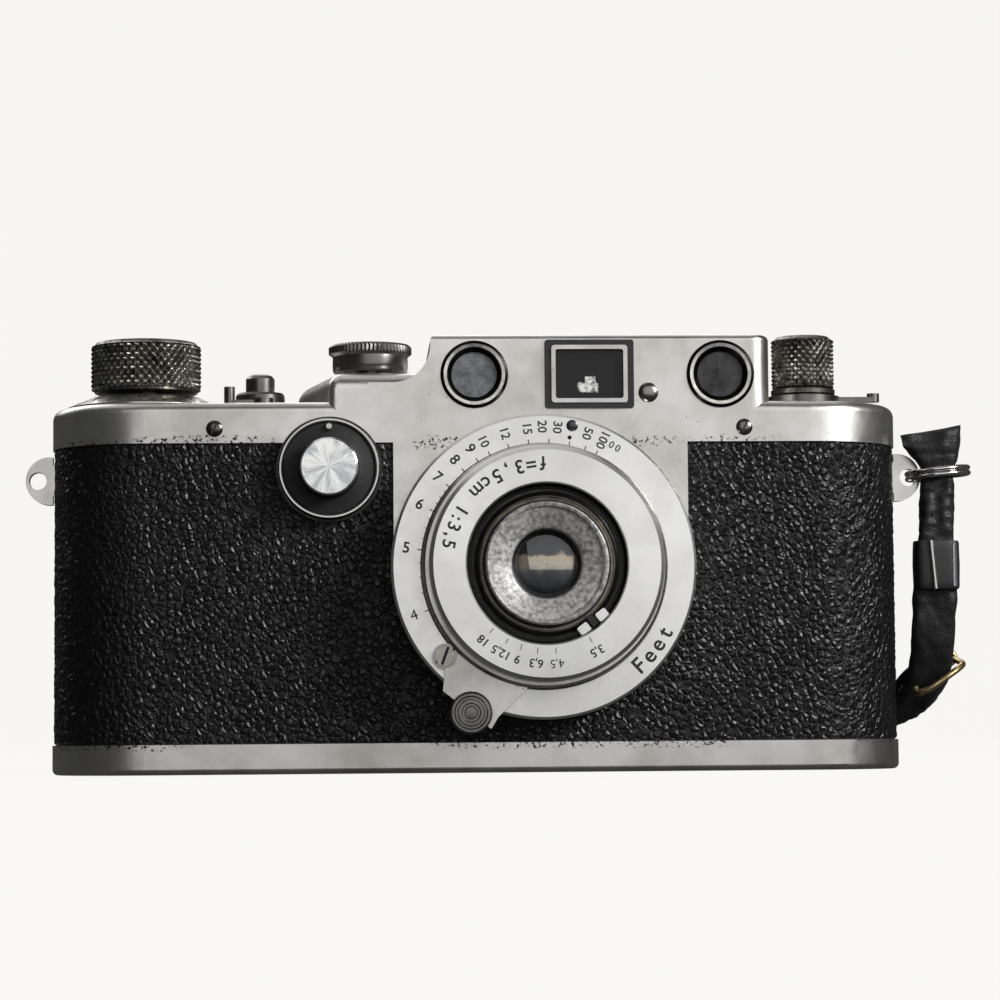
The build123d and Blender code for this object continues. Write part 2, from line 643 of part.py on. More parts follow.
def gear(x, yb, teeth, first_tooth):
    """A spur gear with straight-sided teeth, the first at an angle in degrees, inside a part's block."""
    pitch_r = GEAR_MODULE * teeth / 2
    tip, root = pitch_r + 0.75 * GEAR_MODULE, pitch_r - 1.05 * GEAR_MODULE
    pitch_angle = 360 / teeth
    corners = []
    for tooth in range(teeth):
        middle = first_tooth + tooth * pitch_angle
        for radius, part_of_pitch in ((root, -0.32), (tip, -0.11), (tip, 0.11), (root, 0.32)):
            angle = math.radians(middle + part_of_pitch * pitch_angle)
            corners.append((radius * math.cos(angle), radius * math.sin(angle)))
    with BuildSketch(Plane(origin=(x, MID_Y + yb, GEAR_Z - GEAR_THICKNESS / 2))) as outline:
        with BuildLine():
            Polyline(*corners, close=True)
        make_face()
    extrude(outline.sketch, amount=GEAR_THICKNESS)


GEAR_DISTANCE = math.hypot(SPROCKET_X - ADVANCE_X, SPROCKET_YB)
GEAR_LINE = math.degrees(math.atan2(SPROCKET_YB, SPROCKET_X - ADVANCE_X))
GEAR_MODULE = 2 * GEAR_DISTANCE / (ADVANCE_TEETH + SPROCKET_TEETH)

with BuildPart() as advance_gear:
    gear(ADVANCE_X, 0, ADVANCE_TEETH, GEAR_LINE)
    rod(ADVANCE_X, 0, GEAR_Z - GEAR_THICKNESS, GEAR_Z + GEAR_THICKNESS, ADVANCE_SHAFT_R + HOLE_GAP,
        mode=Mode.SUBTRACT)
save(advance_gear, "advance_gear")

with BuildPart() as sprocket_drum:
    rod(SPROCKET_X, SPROCKET_YB, SPOOL_BOTTOM, GEAR_Z + 2.4, SPROCKET_SHAFT_R)
    rod(SPROCKET_X, SPROCKET_YB, LENS_Z - SPROCKET_ROW, LENS_Z + SPROCKET_ROW, SPROCKET_WAIST_R)
    for row_z in (LENS_Z - SPROCKET_ROW, LENS_Z + SPROCKET_ROW):
        rod(SPROCKET_X, SPROCKET_YB, row_z - 2.4, row_z + 2.4, SPROCKET_R)
        with Locations(Plane(origin=(SPROCKET_X, MID_Y + SPROCKET_YB, row_z))):
            with PolarLocations(SPROCKET_R, FILM_TEETH):
                Box(2.0, 1.3, 1.7)
    gear(SPROCKET_X, SPROCKET_YB, SPROCKET_TEETH, GEAR_LINE + 180 + 180 / SPROCKET_TEETH)
save(sprocket_drum, "sprocket_drum")

# ---------------------------------------------------------------- controls on the deck

with BuildPart() as advance_knob:
    spin_upright(ADVANCE_X, 0, [
        (0, GEAR_Z - 4.4), (ADVANCE_SHAFT_R, GEAR_Z - 4.4), (ADVANCE_SHAFT_R, GEAR_Z + 1.0),
        (ADVANCE_STEM_R, GEAR_Z + 1.0), (ADVANCE_STEM_R, ADVANCE_BOTTOM), (ADVANCE_R - RIM, ADVANCE_BOTTOM),
        (ADVANCE_R, ADVANCE_BOTTOM + RIM), (ADVANCE_R, ADVANCE_TOP - RIM), (ADVANCE_R - RIM, ADVANCE_TOP),
        (5.6, ADVANCE_TOP), (5.2, ADVANCE_TOP - RIM), (0, ADVANCE_TOP - RIM),
    ])
save(advance_knob, "advance_knob")

with BuildPart() as counter_disc:
    spin_upright(ADVANCE_X, 0, [
        (ADVANCE_STEM_R + CLEARANCE, LOW_DECK + DECK_GAP), (COUNTER_R, LOW_DECK + DECK_GAP),
        (COUNTER_R, LOW_DECK + 4 * DECK_GAP), (COUNTER_TOP_R, COUNTER_TOP),
        (ADVANCE_STEM_R + CLEARANCE, COUNTER_TOP),
    ])
save(counter_disc, "counter_disc")

with BuildPart() as release_collar:
    spin_upright(RELEASE_X, RELEASE_YB, [
        (1.0, RELEASE_SEAT - 0.6), (COLLAR_NECK_R, RELEASE_SEAT - 0.6), (COLLAR_NECK_R, LOW_DECK),
        (COLLAR_R, LOW_DECK), (COLLAR_R, COLLAR_TOP - 0.4), (COLLAR_R - 0.3, COLLAR_TOP),
        (RELEASE_R + CLEARANCE, COLLAR_TOP), (RELEASE_R + CLEARANCE, RELEASE_SEAT), (1.0, RELEASE_SEAT),
    ])
save(release_collar, "release_collar")

with BuildPart() as release_button:
    spin_upright(RELEASE_X, RELEASE_YB, [
        (0, RELEASE_SEAT - 1.4), (0.9, RELEASE_SEAT - 1.4), (0.9, RELEASE_SEAT + 3.8),
        (RELEASE_R, RELEASE_SEAT + 3.8), (RELEASE_R, RELEASE_TOP - 0.8), (RELEASE_R - 0.4, RELEASE_TOP - 0.3),
        (RELEASE_R - 1.2, RELEASE_TOP), (0, RELEASE_TOP),
    ])
save(release_button, "release_button")

with BuildPart() as release_spring:
    spring_foot = Vector(RELEASE_X, MID_Y + RELEASE_YB, RELEASE_SEAT + WIRE_R + TINY)
    with BuildLine():
        Helix(pitch=SPRING_PITCH, height=SPRING_HEIGHT, radius=SPRING_R, center=spring_foot)
    with BuildSketch(Plane(origin=spring_foot + Vector(SPRING_R, 0, 0), z_dir=(0, 1, 0))):
        Circle(WIRE_R)
    sweep(is_frenet=True)
save(release_spring, "release_spring")

with BuildPart() as rewind_lever:
    rod(LEVER_X, LEVER_YB, LOW_DECK + DECK_GAP, LOW_DECK + 1.0, 2 * LEVER_PIVOT_R)
    rod(LEVER_X, LEVER_YB, LOW_DECK - 1.0, LOW_DECK + 2 * DECK_GAP, LEVER_PIVOT_R)
    block(LEVER_X - LEVER_ARM, LEVER_X, LEVER_YB - LEVER_PIVOT_R, LEVER_YB + LEVER_PIVOT_R,
          LOW_DECK + DECK_GAP, LOW_DECK + 0.7)
    rod(LEVER_X - LEVER_ARM, LEVER_YB, LOW_DECK + DECK_GAP, LEVER_PIN_TOP, LEVER_PIN_R)
save(rewind_lever, "rewind_lever")

with BuildPart() as speed_dial:
    spin_upright(SPEED_X, SPEED_YB, [
        (SPEED_BORE_R, PLATFORM_TOP - 1.5), (SPEED_COLLAR_R, PLATFORM_TOP - 1.5),
        (SPEED_COLLAR_R, SPEED_BODY_Z), (SPEED_BARREL_R, SPEED_BODY_Z), (SPEED_BARREL_R, SPEED_TOP - 1.6),
        (SPEED_R, SPEED_TOP - 1.4), (SPEED_R, SPEED_TOP - 0.3), (SPEED_R - 0.35, SPEED_TOP),
        (POST_R + HOLE_GAP, SPEED_TOP), (POST_R + HOLE_GAP, SPEED_BODY_Z + 1.6),
        (SPEED_BORE_R, SPEED_BODY_Z + 1.6),
    ])
save(speed_dial, "speed_dial")

with BuildPart() as speed_post:
    rod(SPEED_X, SPEED_YB, SPEED_BODY_Z + 1.7, SPEED_TOP + 0.4, POST_R)
    fillet(speed_post.faces().sort_by(Axis.Z)[-1].edges(), 0.3)
save(speed_post, "speed_post")

with BuildPart() as rewind_shaft:
    rod(REWIND_X, 0, REWIND_FORK_Z, REWIND_TOP - 3.7, REWIND_SHAFT_R)
    rod(REWIND_X, 0, REWIND_FORK_Z, REWIND_FORK_Z + 4.0, 2.6)
    for prong_x in (REWIND_X - 1.5, REWIND_X + 1.5):
        block(prong_x - 0.5, prong_x + 0.5, -1.2, 1.2, REWIND_FORK_Z - 3.5, REWIND_FORK_Z + 0.2)
save(rewind_shaft, "rewind_shaft")

with BuildPart() as rewind_knob:
    spin_upright(REWIND_X, 0, [
        (REWIND_BORE_R, REWIND_RIM - 7.0), (REWIND_STEM_R, REWIND_RIM - 7.0), (REWIND_STEM_R, REWIND_RIM),
        (REWIND_R + 0.2, REWIND_RIM), (REWIND_R + 0.2, REWIND_RIM + 0.7), (REWIND_R, REWIND_RIM + 0.9),
        (REWIND_R, REWIND_TOP - RIM), (REWIND_R - RIM, REWIND_TOP), (0, REWIND_TOP),
        (0, REWIND_TOP - 3.5), (REWIND_BORE_R, REWIND_TOP - 3.5),
    ])
save(rewind_knob, "rewind_knob")

with BuildPart() as diopter_lever:
    bore = REWIND_STEM_R + 0.15
    spin_upright(REWIND_X, 0, [
        (bore, LOW_DECK + DECK_GAP), (DIOPTER_R, LOW_DECK + DECK_GAP), (DIOPTER_R, DIOPTER_TOP),
        (bore, DIOPTER_TOP),
    ])
    block(REWIND_X + DIOPTER_R - 0.9, DIOPTER_ARM_X, -1.0, 1.0, DIOPTER_TOP - 0.8, DIOPTER_TOP)
    rod(DIOPTER_ARM_X, 0, DIOPTER_TOP - 0.8, DIOPTER_TOP + 0.6, 1.0)
save(diopter_lever, "diopter_lever")

# ---------------------------------------------------------------- windows and eyepieces


def frame_piece(width, height, hole_width, hole_height, h0, h1):
    """A rectangular window frame, inside a part's block."""
    with BuildSketch(facing(h0, FINDER_X, WINDOW_Z)) as outline:
        RectangleRounded(width, height, FRAME_CORNER)
        RectangleRounded(hole_width, hole_height, FRAME_CORNER - 0.1, mode=Mode.SUBTRACT)
    extrude(outline.sketch, amount=h1 - h0)


with BuildPart() as finder_frame:
    frame_piece(FINDER_WIDTH - HOLE_GAP, FINDER_HEIGHT - HOLE_GAP, BEZEL_WIDTH + HOLE_GAP,
                BEZEL_HEIGHT + HOLE_GAP, -1.0, 0.5)
save(finder_frame, "finder_frame")

with BuildPart() as finder_bezel:
    frame_piece(BEZEL_WIDTH, BEZEL_HEIGHT, VIEW_WIDTH, VIEW_HEIGHT, -1.0, 0.8)
save(finder_bezel, "finder_bezel")

with BuildPart() as finder_glass:
    with BuildSketch(facing(-0.9, FINDER_X, WINDOW_Z)):
        RectangleRounded(VIEW_WIDTH - HOLE_GAP, VIEW_HEIGHT - HOLE_GAP, FRAME_CORNER - 0.15)
    extrude(amount=0.6)
save(finder_glass, "finder_glass")

with BuildPart() as rangefinder_bezels:
    for window_x in (WINDOW_LEFT_X, WINDOW_RIGHT_X):
        inner, outer = WINDOW_GLASS_R + 0.03, WINDOW_HOLE_R - 0.03
        spin_forward(window_x, WINDOW_Z, [
            (inner, -1.2), (outer, -1.2), (outer, 0.3), (outer - 0.43, 0.55), (inner + 0.6, 0.45),
            (inner, -0.2),
        ])
save(rangefinder_bezels, "rangefinder_bezels")

with BuildPart() as rangefinder_glass:
    for window_x in (WINDOW_LEFT_X, WINDOW_RIGHT_X):
        peg(window_x, WINDOW_Z, -1.1, -0.5, WINDOW_GLASS_R)
save(rangefinder_glass, "rangefinder_glass")


def eyepiece(x, forward, reach):
    """A short tube through the housing's back, inside a part's block."""
    with BuildSketch(backward(HOUSING_REAR + reach, x, WINDOW_Z)) as outline:
        Circle(EYEPIECE_R - HOLE_GAP)
        Circle(EYEPIECE_BORE_R, mode=Mode.SUBTRACT)
    extrude(outline.sketch, amount=reach + forward)


with BuildPart() as finder_eyepiece:
    eyepiece(FINDER_X, 3.0, 1.4)
save(finder_eyepiece, "finder_eyepiece")

with BuildPart() as rangefinder_eyepiece:
    eyepiece(EYEPIECE_X, 5.0, 1.0)
save(rangefinder_eyepiece, "rangefinder_eyepiece")

# The arm's post carries a mirror behind the left window and a roller that rests on the lens's tube.
with BuildPart() as rangefinder_arm:
    rod(ARM_X, ARM_YB, ARM_Z, WINDOW_Z + 2.5, ARM_POST_R)
    with BuildSketch(Plane.XY.offset(ARM_Z)):
        with BuildLine():
            Polyline(
                (ARM_X - 0.9, MID_Y + ARM_YB - 0.9), (LENS_X + 0.6, MID_Y + ROLLER_REST - 0.8),
                (LENS_X + 0.6, MID_Y + ROLLER_REST + 0.8), (ARM_X - 0.9, MID_Y + ARM_YB + 0.9), close=True,
            )
        make_face()
    extrude(amount=ARM_THICKNESS)
    rod(LENS_X, ROLLER_REST, ARM_Z, ARM_Z + ARM_THICKNESS, FOLLOWER_R)
    with Locations(Location((ARM_X, MID_Y + ARM_YB - 0.7, WINDOW_Z), (0, 0, 45))):
        Box(*MIRROR)
save(rangefinder_arm, "rangefinder_arm")

# ---------------------------------------------------------------- slow speeds

with BuildPart() as slow_dial_seat:
    spin_forward(SLOW_X, SLOW_Z, [
        (SLOW_BUSH_R - 0.4, -1.5), (SLOW_BUSH_R, -1.5), (SLOW_BUSH_R, -0.5), (SLOW_SEAT_R, -0.5),
        (SLOW_SEAT_R, 0.4), (SLOW_BUSH_R - 0.4, 0.4),
    ])
save(slow_dial_seat, "slow_dial_seat")

with BuildPart() as slow_speed_dial:
    spin_forward(SLOW_X, SLOW_Z, [
        (0, -3.6), (SLOW_SHAFT_R, -3.6), (SLOW_SHAFT_R, 0.5), (SLOW_R + 0.2, 0.5), (SLOW_R + 0.2, 2.6),
        (SLOW_R, 2.8),
        (SLOW_R - 0.3, 2.8), (SLOW_R - 0.7, 2.5), (4.6, 3.4), (4.45, 5.4), (4.2, 6.2), (0, 6.6),
    ])
    peg(*SLOW_STUD, 0.5, 3.6, 0.55)
save(slow_speed_dial, "slow_speed_dial")

# ---------------------------------------------------------------- lens

with BuildPart() as lens_flange:
    bore = THREAD_R + HOLE_GAP
    spin_lens([(bore, 0), (FLANGE_R, 0), (FLANGE_R, FLANGE_H), (bore, FLANGE_H)])
    for turn in FLANGE_SCREW_ANGLES:
        peg(*polar(FLANGE_SCREW_R, turn), -1, FLANGE_H + 1, SCREW_SHANK + TINY, mode=Mode.SUBTRACT)
        peg(*polar(FLANGE_SCREW_R, turn), FLANGE_H - 0.5, FLANGE_H + 1, FLANGE_SCREW_HEAD_R + HOLE_GAP,
            mode=Mode.SUBTRACT)
save(lens_flange, "lens_flange")

with BuildPart() as flange_screws:
    for turn in FLANGE_SCREW_ANGLES:
        slotted_screw(facing(FLANGE_H - 0.5, *polar(FLANGE_SCREW_R, turn)), FLANGE_SCREW_HEAD_R, 0.4, 1.3,
                      turn=turn)
save(flange_screws, "flange_screws")

with BuildPart() as scale_ring:
    inner = CARRIER_R + CLEARANCE
    spin_lens([
        (inner, -2.5), (THREAD_R, -2.5), (THREAD_R, 2.0), (SCALE_RING_R - 0.4, 2.0), (SCALE_RING_R, 2.4),
        (SCALE_RING_R, SCALE_FACE - 0.4), (SCALE_RING_R - 0.4, SCALE_FACE), (inner + 0.6, SCALE_FACE),
        (inner, SCALE_FACE - 0.6),
    ])
save(scale_ring, "scale_ring")

with BuildPart() as focus_carrier:
    spin_lens([
        (FOCUS_TUBE_R + CLEARANCE, CARRIER_REAR), (CARRIER_R, CARRIER_REAR), (CARRIER_R, 4.5),
        (FOCUS_TUBE_R + CLEARANCE, 4.5),
    ])
save(focus_carrier, "focus_carrier")

with BuildPart() as focus_ring:
    tube_inner = BARREL_R + TINY
    spin_lens([
        (tube_inner, -2.0), (FOCUS_TUBE_R, -2.0), (FOCUS_TUBE_R, 5.0), (FOCUS_RIM_R - 0.5, 5.6),
        (FOCUS_RIM_R, TAB_BACK), (FOCUS_RIM_R, FOCUS_FACE - 0.5), (FOCUS_RIM_R - 0.4, FOCUS_FACE),
        (tube_inner, FOCUS_FACE),
    ])
    with BuildSketch(facing(TAB_BACK)):
        with BuildLine():
            Polyline(*TAB_CORNERS, close=True)
        make_face()
        with Locations(INFINITY_PLACE):
            Circle(INFINITY_R - CLEARANCE)
        with Locations(STOP_PLACE):
            Circle(STOP_R + 0.2)
        with Locations((LENS_X, LENS_Z)):
            Circle(FOCUS_RIM_R + CLEARANCE, mode=Mode.SUBTRACT)
        with Locations(INFINITY_PLACE):
            Circle(TAB_PIN_R + HOLE_GAP, mode=Mode.SUBTRACT)
        with Locations(STOP_PLACE):
            Circle(SCREW_SHANK + TINY, mode=Mode.SUBTRACT)
    extrude(amount=TAB_FRONT - TAB_BACK)
save(focus_ring, "focus_ring")

with BuildPart() as infinity_button:
    head_back = TAB_FRONT + INFINITY_TRAVEL + CLEARANCE
    spin_forward(*INFINITY_PLACE, [
        (0, 4.4), (TAB_PIN_R, 4.4), (TAB_PIN_R, head_back), (INFINITY_R, head_back),
        (INFINITY_R, head_back + 1.1),
        (INFINITY_R - 0.4, head_back + 1.5), (2.0, head_back + 1.5), (1.6, head_back + 1.2),
        (0, head_back + 1.2),
    ])
save(infinity_button, "infinity_button")

with BuildPart() as stop_screw:
    slotted_screw(facing(TAB_FRONT, *STOP_PLACE), STOP_R, 0.8, 1.0, turn=35)
save(stop_screw, "stop_screw")

# The barrel's front is a ring, a groove for the aperture ring and a hollow cone round the glass.
with BuildPart() as lens_barrel:
    spin_lens([
        (GLASS_R, 12.4), (CELL_R, LENS_REACH - 0.1), (CELL_R, GROOVE_FLOOR), (NAME_RING_R, GROOVE_FLOOR),
        (NAME_RING_R, LENS_REACH - 0.3),
        (NAME_RING_R + 0.3, LENS_REACH), (FRONT_RING_R - 0.6, LENS_REACH), (FRONT_RING_R, LENS_REACH - 0.6),
        (FRONT_RING_R, FOCUS_FACE), (BARREL_R, FOCUS_FACE), (BARREL_R, -3.0), (REAR_GLASS_R, -3.0),
        (REAR_GLASS_R, IRIS_H), (IRIS_ROOM_R, IRIS_H), (IRIS_ROOM_R, IRIS_H + IRIS_ROOM_DEPTH),
        (GLASS_R, IRIS_H + IRIS_ROOM_DEPTH),
    ])
save(lens_barrel, "lens_barrel")

with BuildPart() as aperture_ring:
    spin_lens([
        (CELL_R + CLEARANCE, APERTURE_BACK), (NAME_RING_R - CLEARANCE, APERTURE_BACK),
        (NAME_RING_R - CLEARANCE, APERTURE_FRONT), (CELL_R + CLEARANCE, APERTURE_FRONT),
    ])
    tab_x, tab_z = polar(APERTURE_TAB_R, APERTURE_ANGLE)
    with BuildSketch(facing(APERTURE_FRONT - 0.2, tab_x, tab_z)):
        Rectangle(1.8, 1.0, rotation=APERTURE_ANGLE)
    extrude(amount=LENS_REACH - APERTURE_FRONT + 0.2)
save(aperture_ring, "aperture_ring")


def lens_element(radius, edge_h, crown_h, flat_h):
    """A round glass with one domed face, inside a part's block."""
    with BuildSketch(Plane(origin=(LENS_X, FRONT_Y, LENS_Z), x_dir=(1, 0, 0), z_dir=(0, 0, -1))) as outline:
        with BuildLine():
            sagitta = crown_h - edge_h
            dome_r = (radius**2 + sagitta**2) / (2 * sagitta)
            half_turn = math.asin(radius / abs(dome_r)) / 2
            middle = (abs(dome_r) * math.sin(half_turn), crown_h - dome_r * (1 - math.cos(half_turn)))
            ThreePointArc((0, crown_h), middle, (radius, edge_h))
            Polyline((radius, edge_h), (radius, flat_h), (0, flat_h), (0, crown_h))
        make_face()
    revolve(outline.sketch, axis=Axis((LENS_X, FRONT_Y, LENS_Z), (0, -1, 0)))


with BuildPart() as front_element:
    lens_element(GLASS_R - TINY, 11.9, 12.9, 9.0)
save(front_element, "front_element")

with BuildPart() as rear_element:
    lens_element(REAR_GLASS_R - TINY, -2.0, -2.9, 1.5)
save(rear_element, "rear_element")

# The blades are thin crescents, each in its own plane, that turn in about a pin near the rim.
for blade in range(IRIS_BLADES):
    blade_turn = IRIS_FIRST_TURN + blade * 360 / IRIS_BLADES
    with BuildPart() as iris_blade:
        with BuildSketch(facing(IRIS_H + BLADE_REAR_GAP + IRIS_SPACING * blade, LENS_X, LENS_Z)):
            with BuildLine():
                tips = [
                    (radius * math.cos(math.radians(turn)), radius * math.sin(math.radians(turn)))
                    for radius, turn in (
                        (BLADE_IN_R, blade_turn + BLADE_START), (BLADE_IN_R, blade_turn + BLADE_MIDDLE),
                        (BLADE_IN_R, blade_turn + BLADE_END), (BLADE_OUT_R, blade_turn + BLADE_END),
                        (BLADE_OUT_R, blade_turn + BLADE_MIDDLE), (BLADE_OUT_R, blade_turn + BLADE_START),
                    )
                ]
                ThreePointArc(tips[0], tips[1], tips[2])
                Line(tips[2], tips[3])
                ThreePointArc(tips[3], tips[4], tips[5])
                Line(tips[5], tips[0])
            make_face()
            with PolarLocations(BLADE_PIVOT_R, 1, blade_turn):
                Circle(BLADE_PIN_HOLE_R, mode=Mode.SUBTRACT)
        extrude(amount=BLADE_THICKNESS)
    save(iris_blade, f"iris_blade_{blade + 1}")

# ---------------------------------------------------------------- hand strap

with BuildPart() as strap_ring:
    tilt = Plane(origin=(RING_X, MID_Y, LUG_Z + 0.7), x_dir=(1, 0, 0.1), z_dir=(-0.1, 0, 1))
    with BuildSketch(tilt):
        Circle(RING_R + RING_WIRE)
        Circle(RING_R - RING_WIRE, mode=Mode.SUBTRACT)
    extrude(amount=RING_HALF_HEIGHT, both=True)
save(strap_ring, "strap_ring")

with BuildPart() as hand_strap:
    points = [Vector(*point) for point in STRAP_ROUTE]
    with BuildLine() as route:
        here = points[0]
        for before, corner, after in zip(points, points[1:], points[2:]):
            way_in, way_out = (corner - before).normalized(), (after - corner).normalized()
            half_turn = math.radians(way_in.get_angle(way_out)) / 2
            trim = BEND_SHARE * min((corner - before).length, (after - corner).length)
            entry, leave = corner - way_in * trim, corner + way_out * trim
            inward = (way_out - way_in).normalized()
            bend_r = trim / math.tan(half_turn)
            middle = corner + inward * (bend_r / math.cos(half_turn) - bend_r)
            Line(here, entry)
            ThreePointArc(entry, middle, leave)
            here = leave
        Line(here, points[-1])
    with BuildSketch(Plane(origin=points[0], z_dir=points[1] - points[0])):
        Circle(STRAP_CORD_R)
    sweep(path=route.line)
save(hand_strap, "hand_strap")

with BuildPart() as strap_keeper:
    keeper_y = STRAP_ROUTE[1][1]
    with Locations((KEEPER_X, keeper_y, KEEPER_Z)):
        Box(KEEPER_WIDTH, KEEPER_DEPTH, KEEPER_HEIGHT)
        Box(KEEPER_WIDTH - 2 * KEEPER_WALL, KEEPER_DEPTH - 2 * KEEPER_WALL, KEEPER_HEIGHT + CUT_PAST,
            mode=Mode.SUBTRACT)
save(strap_keeper, "strap_keeper")

# The snap hook is a small swivel post and a hooked plate at the strap's far end.
with BuildPart() as strap_hook:
    with BuildSketch(Plane(origin=Vector(*STRAP_ROUTE[-1]) + HOOK_OFFSET, z_dir=(0, -1, 0))):
        RectangleRounded(5.2, 3.6, 1.2)
        with Locations((0.6, 0)):
            RectangleRounded(2.2, 1.4, 0.6, mode=Mode.SUBTRACT)
    extrude(amount=1.2)
save(strap_hook, "strap_hook")
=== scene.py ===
"""The looks of a 35 mm rangefinder camera: worn chrome, grained covering, knurled knobs, engraved rings."""

from math import atan, copysign, cos, pi, radians, sin, sqrt, tau

import bmesh
import bpy
from mathutils import Matrix, Vector, noise


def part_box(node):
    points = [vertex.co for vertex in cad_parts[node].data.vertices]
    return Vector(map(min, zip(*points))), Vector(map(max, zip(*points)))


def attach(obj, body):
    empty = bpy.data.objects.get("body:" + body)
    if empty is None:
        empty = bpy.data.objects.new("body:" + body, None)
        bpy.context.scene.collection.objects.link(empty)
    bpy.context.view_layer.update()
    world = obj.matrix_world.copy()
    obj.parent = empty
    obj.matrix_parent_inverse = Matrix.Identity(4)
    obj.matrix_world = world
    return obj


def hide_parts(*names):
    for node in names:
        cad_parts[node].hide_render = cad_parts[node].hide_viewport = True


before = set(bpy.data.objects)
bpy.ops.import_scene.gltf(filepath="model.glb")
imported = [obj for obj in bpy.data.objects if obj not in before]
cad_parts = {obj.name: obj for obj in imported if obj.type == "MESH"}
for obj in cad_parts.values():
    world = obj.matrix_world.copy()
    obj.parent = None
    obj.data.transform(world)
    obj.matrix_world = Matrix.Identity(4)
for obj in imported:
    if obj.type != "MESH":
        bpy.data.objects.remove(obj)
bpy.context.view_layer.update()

# ---------------------------------------------------------------- places and sizes, in metres

MM = 0.001


def node_box(name):
    """Lowest corner, highest corner and middle of a node."""
    low, high = map(Vector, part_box(name))
    return low, high, (low + high) / 2


def link(thing):
    bpy.context.scene.collection.objects.link(thing)


def shift(x, y, z):
    return Matrix.Translation((x, y, z))


def spin(angle, axis):
    return Matrix.Rotation(angle, 4, axis)


def mm_from(r, h, *offsets):
    """Points of an outline, as offsets in millimetres from the corner (r, h)."""
    return [(r + across * MM, h + up * MM) for across, up in offsets]


SHELL_LOW, SHELL_HIGH, _ = node_box("base_plate")
BODY_LENGTH = SHELL_HIGH.x - SHELL_LOW.x
BODY_DEPTH = SHELL_HIGH.y - SHELL_LOW.y
BODY_FRONT = SHELL_LOW.y
BODY_MIDDLE = (SHELL_LOW.y + SHELL_HIGH.y) / 2
_, _, LENS = node_box("scale_ring")
LENS.y = BODY_FRONT

# ---------------------------------------------------------------- camera, floor and lights


CAMERA_PLACE = (-20.167 * MM, BODY_MIDDLE - 510.73 * MM, 6.0 * MM)
CAMERA_YAW, CAMERA_PITCH, CAMERA_ROLL = radians(-2.701), radians(4.228), radians(-0.466)
CAMERA_SENSOR, CAMERA_LENS = 36.0, 113.967


def add_camera():
    """The camera stands about half a metre in front, a little above the floor, and looks up slightly."""
    data = bpy.data.cameras.new("camera")
    data.sensor_width = CAMERA_SENSOR
    data.lens = CAMERA_LENS
    data.clip_start = 0.01
    camera = bpy.data.objects.new("camera", data)
    tilt = spin(CAMERA_PITCH, "X") @ spin(-CAMERA_ROLL, "Y")
    aim = spin(CAMERA_YAW, "Z") @ tilt
    camera.matrix_world = Matrix.Translation(CAMERA_PLACE) @ aim @ spin(pi / 2, "X")
    link(camera)
    bpy.context.scene.camera = camera


add_camera()


FLOOR_R, FLOOR_BEND, WALL_HEIGHT = 1.6, 0.9, 2.6


def add_floor():
    """A pale round floor that rises into a pale wall all round, well away from the object."""
    profile = [(0.0, 0.0), (FLOOR_R, 0.0)]
    bend = [pi / 2 * i / 24 for i in range(1, 25)]
    profile += [(FLOOR_R + FLOOR_BEND * sin(t), FLOOR_BEND * (1 - cos(t))) for t in bend]
    profile.append((FLOOR_R + FLOOR_BEND, WALL_HEIGHT))
    floor = bpy.data.objects.new("floor", lathe("floor", profile, (0, 0, 0), "up", 64))
    link(floor)
    look = Look("floor_pale", (0.03, 0.03, 0.029), 0.0, 0.9)
    look.set("Emission Color", (1.0, 0.992, 0.965, 1))
    look.set("Emission Strength", 0.92)
    look.set("Specular IOR Level", 0.0)
    look.rough_between(look.noise(9.0, 4.0), 0.85, 0.95)
    floor.data.materials.append(look.material)
    floor.data.shade_smooth()
    floor.visible_glossy = False
    floor.visible_diffuse = False


def add_light(name, place, aim, width, height, watts):
    data = bpy.data.lights.new(name, "AREA")
    data.shape = "RECTANGLE"
    data.size, data.size_y = width, height
    data.energy = watts
    light = bpy.data.objects.new(name, data)
    light.location = place
    light.rotation_euler = (Vector(aim) - Vector(place)).to_track_quat("-Z", "Y").to_euler()
    link(light)


def add_world():
    world = bpy.data.worlds.new("studio")
    bpy.context.scene.world = world
    bpy.context.scene.view_settings.view_transform = "Standard"
    world.use_nodes = True
    background = world.node_tree.nodes["Background"]
    background.inputs["Color"].default_value = (0.055, 0.055, 0.055, 1)
    background.inputs["Strength"].default_value = 1.0


# ---------------------------------------------------------------- materials


def grey(level):
    return level, level, level


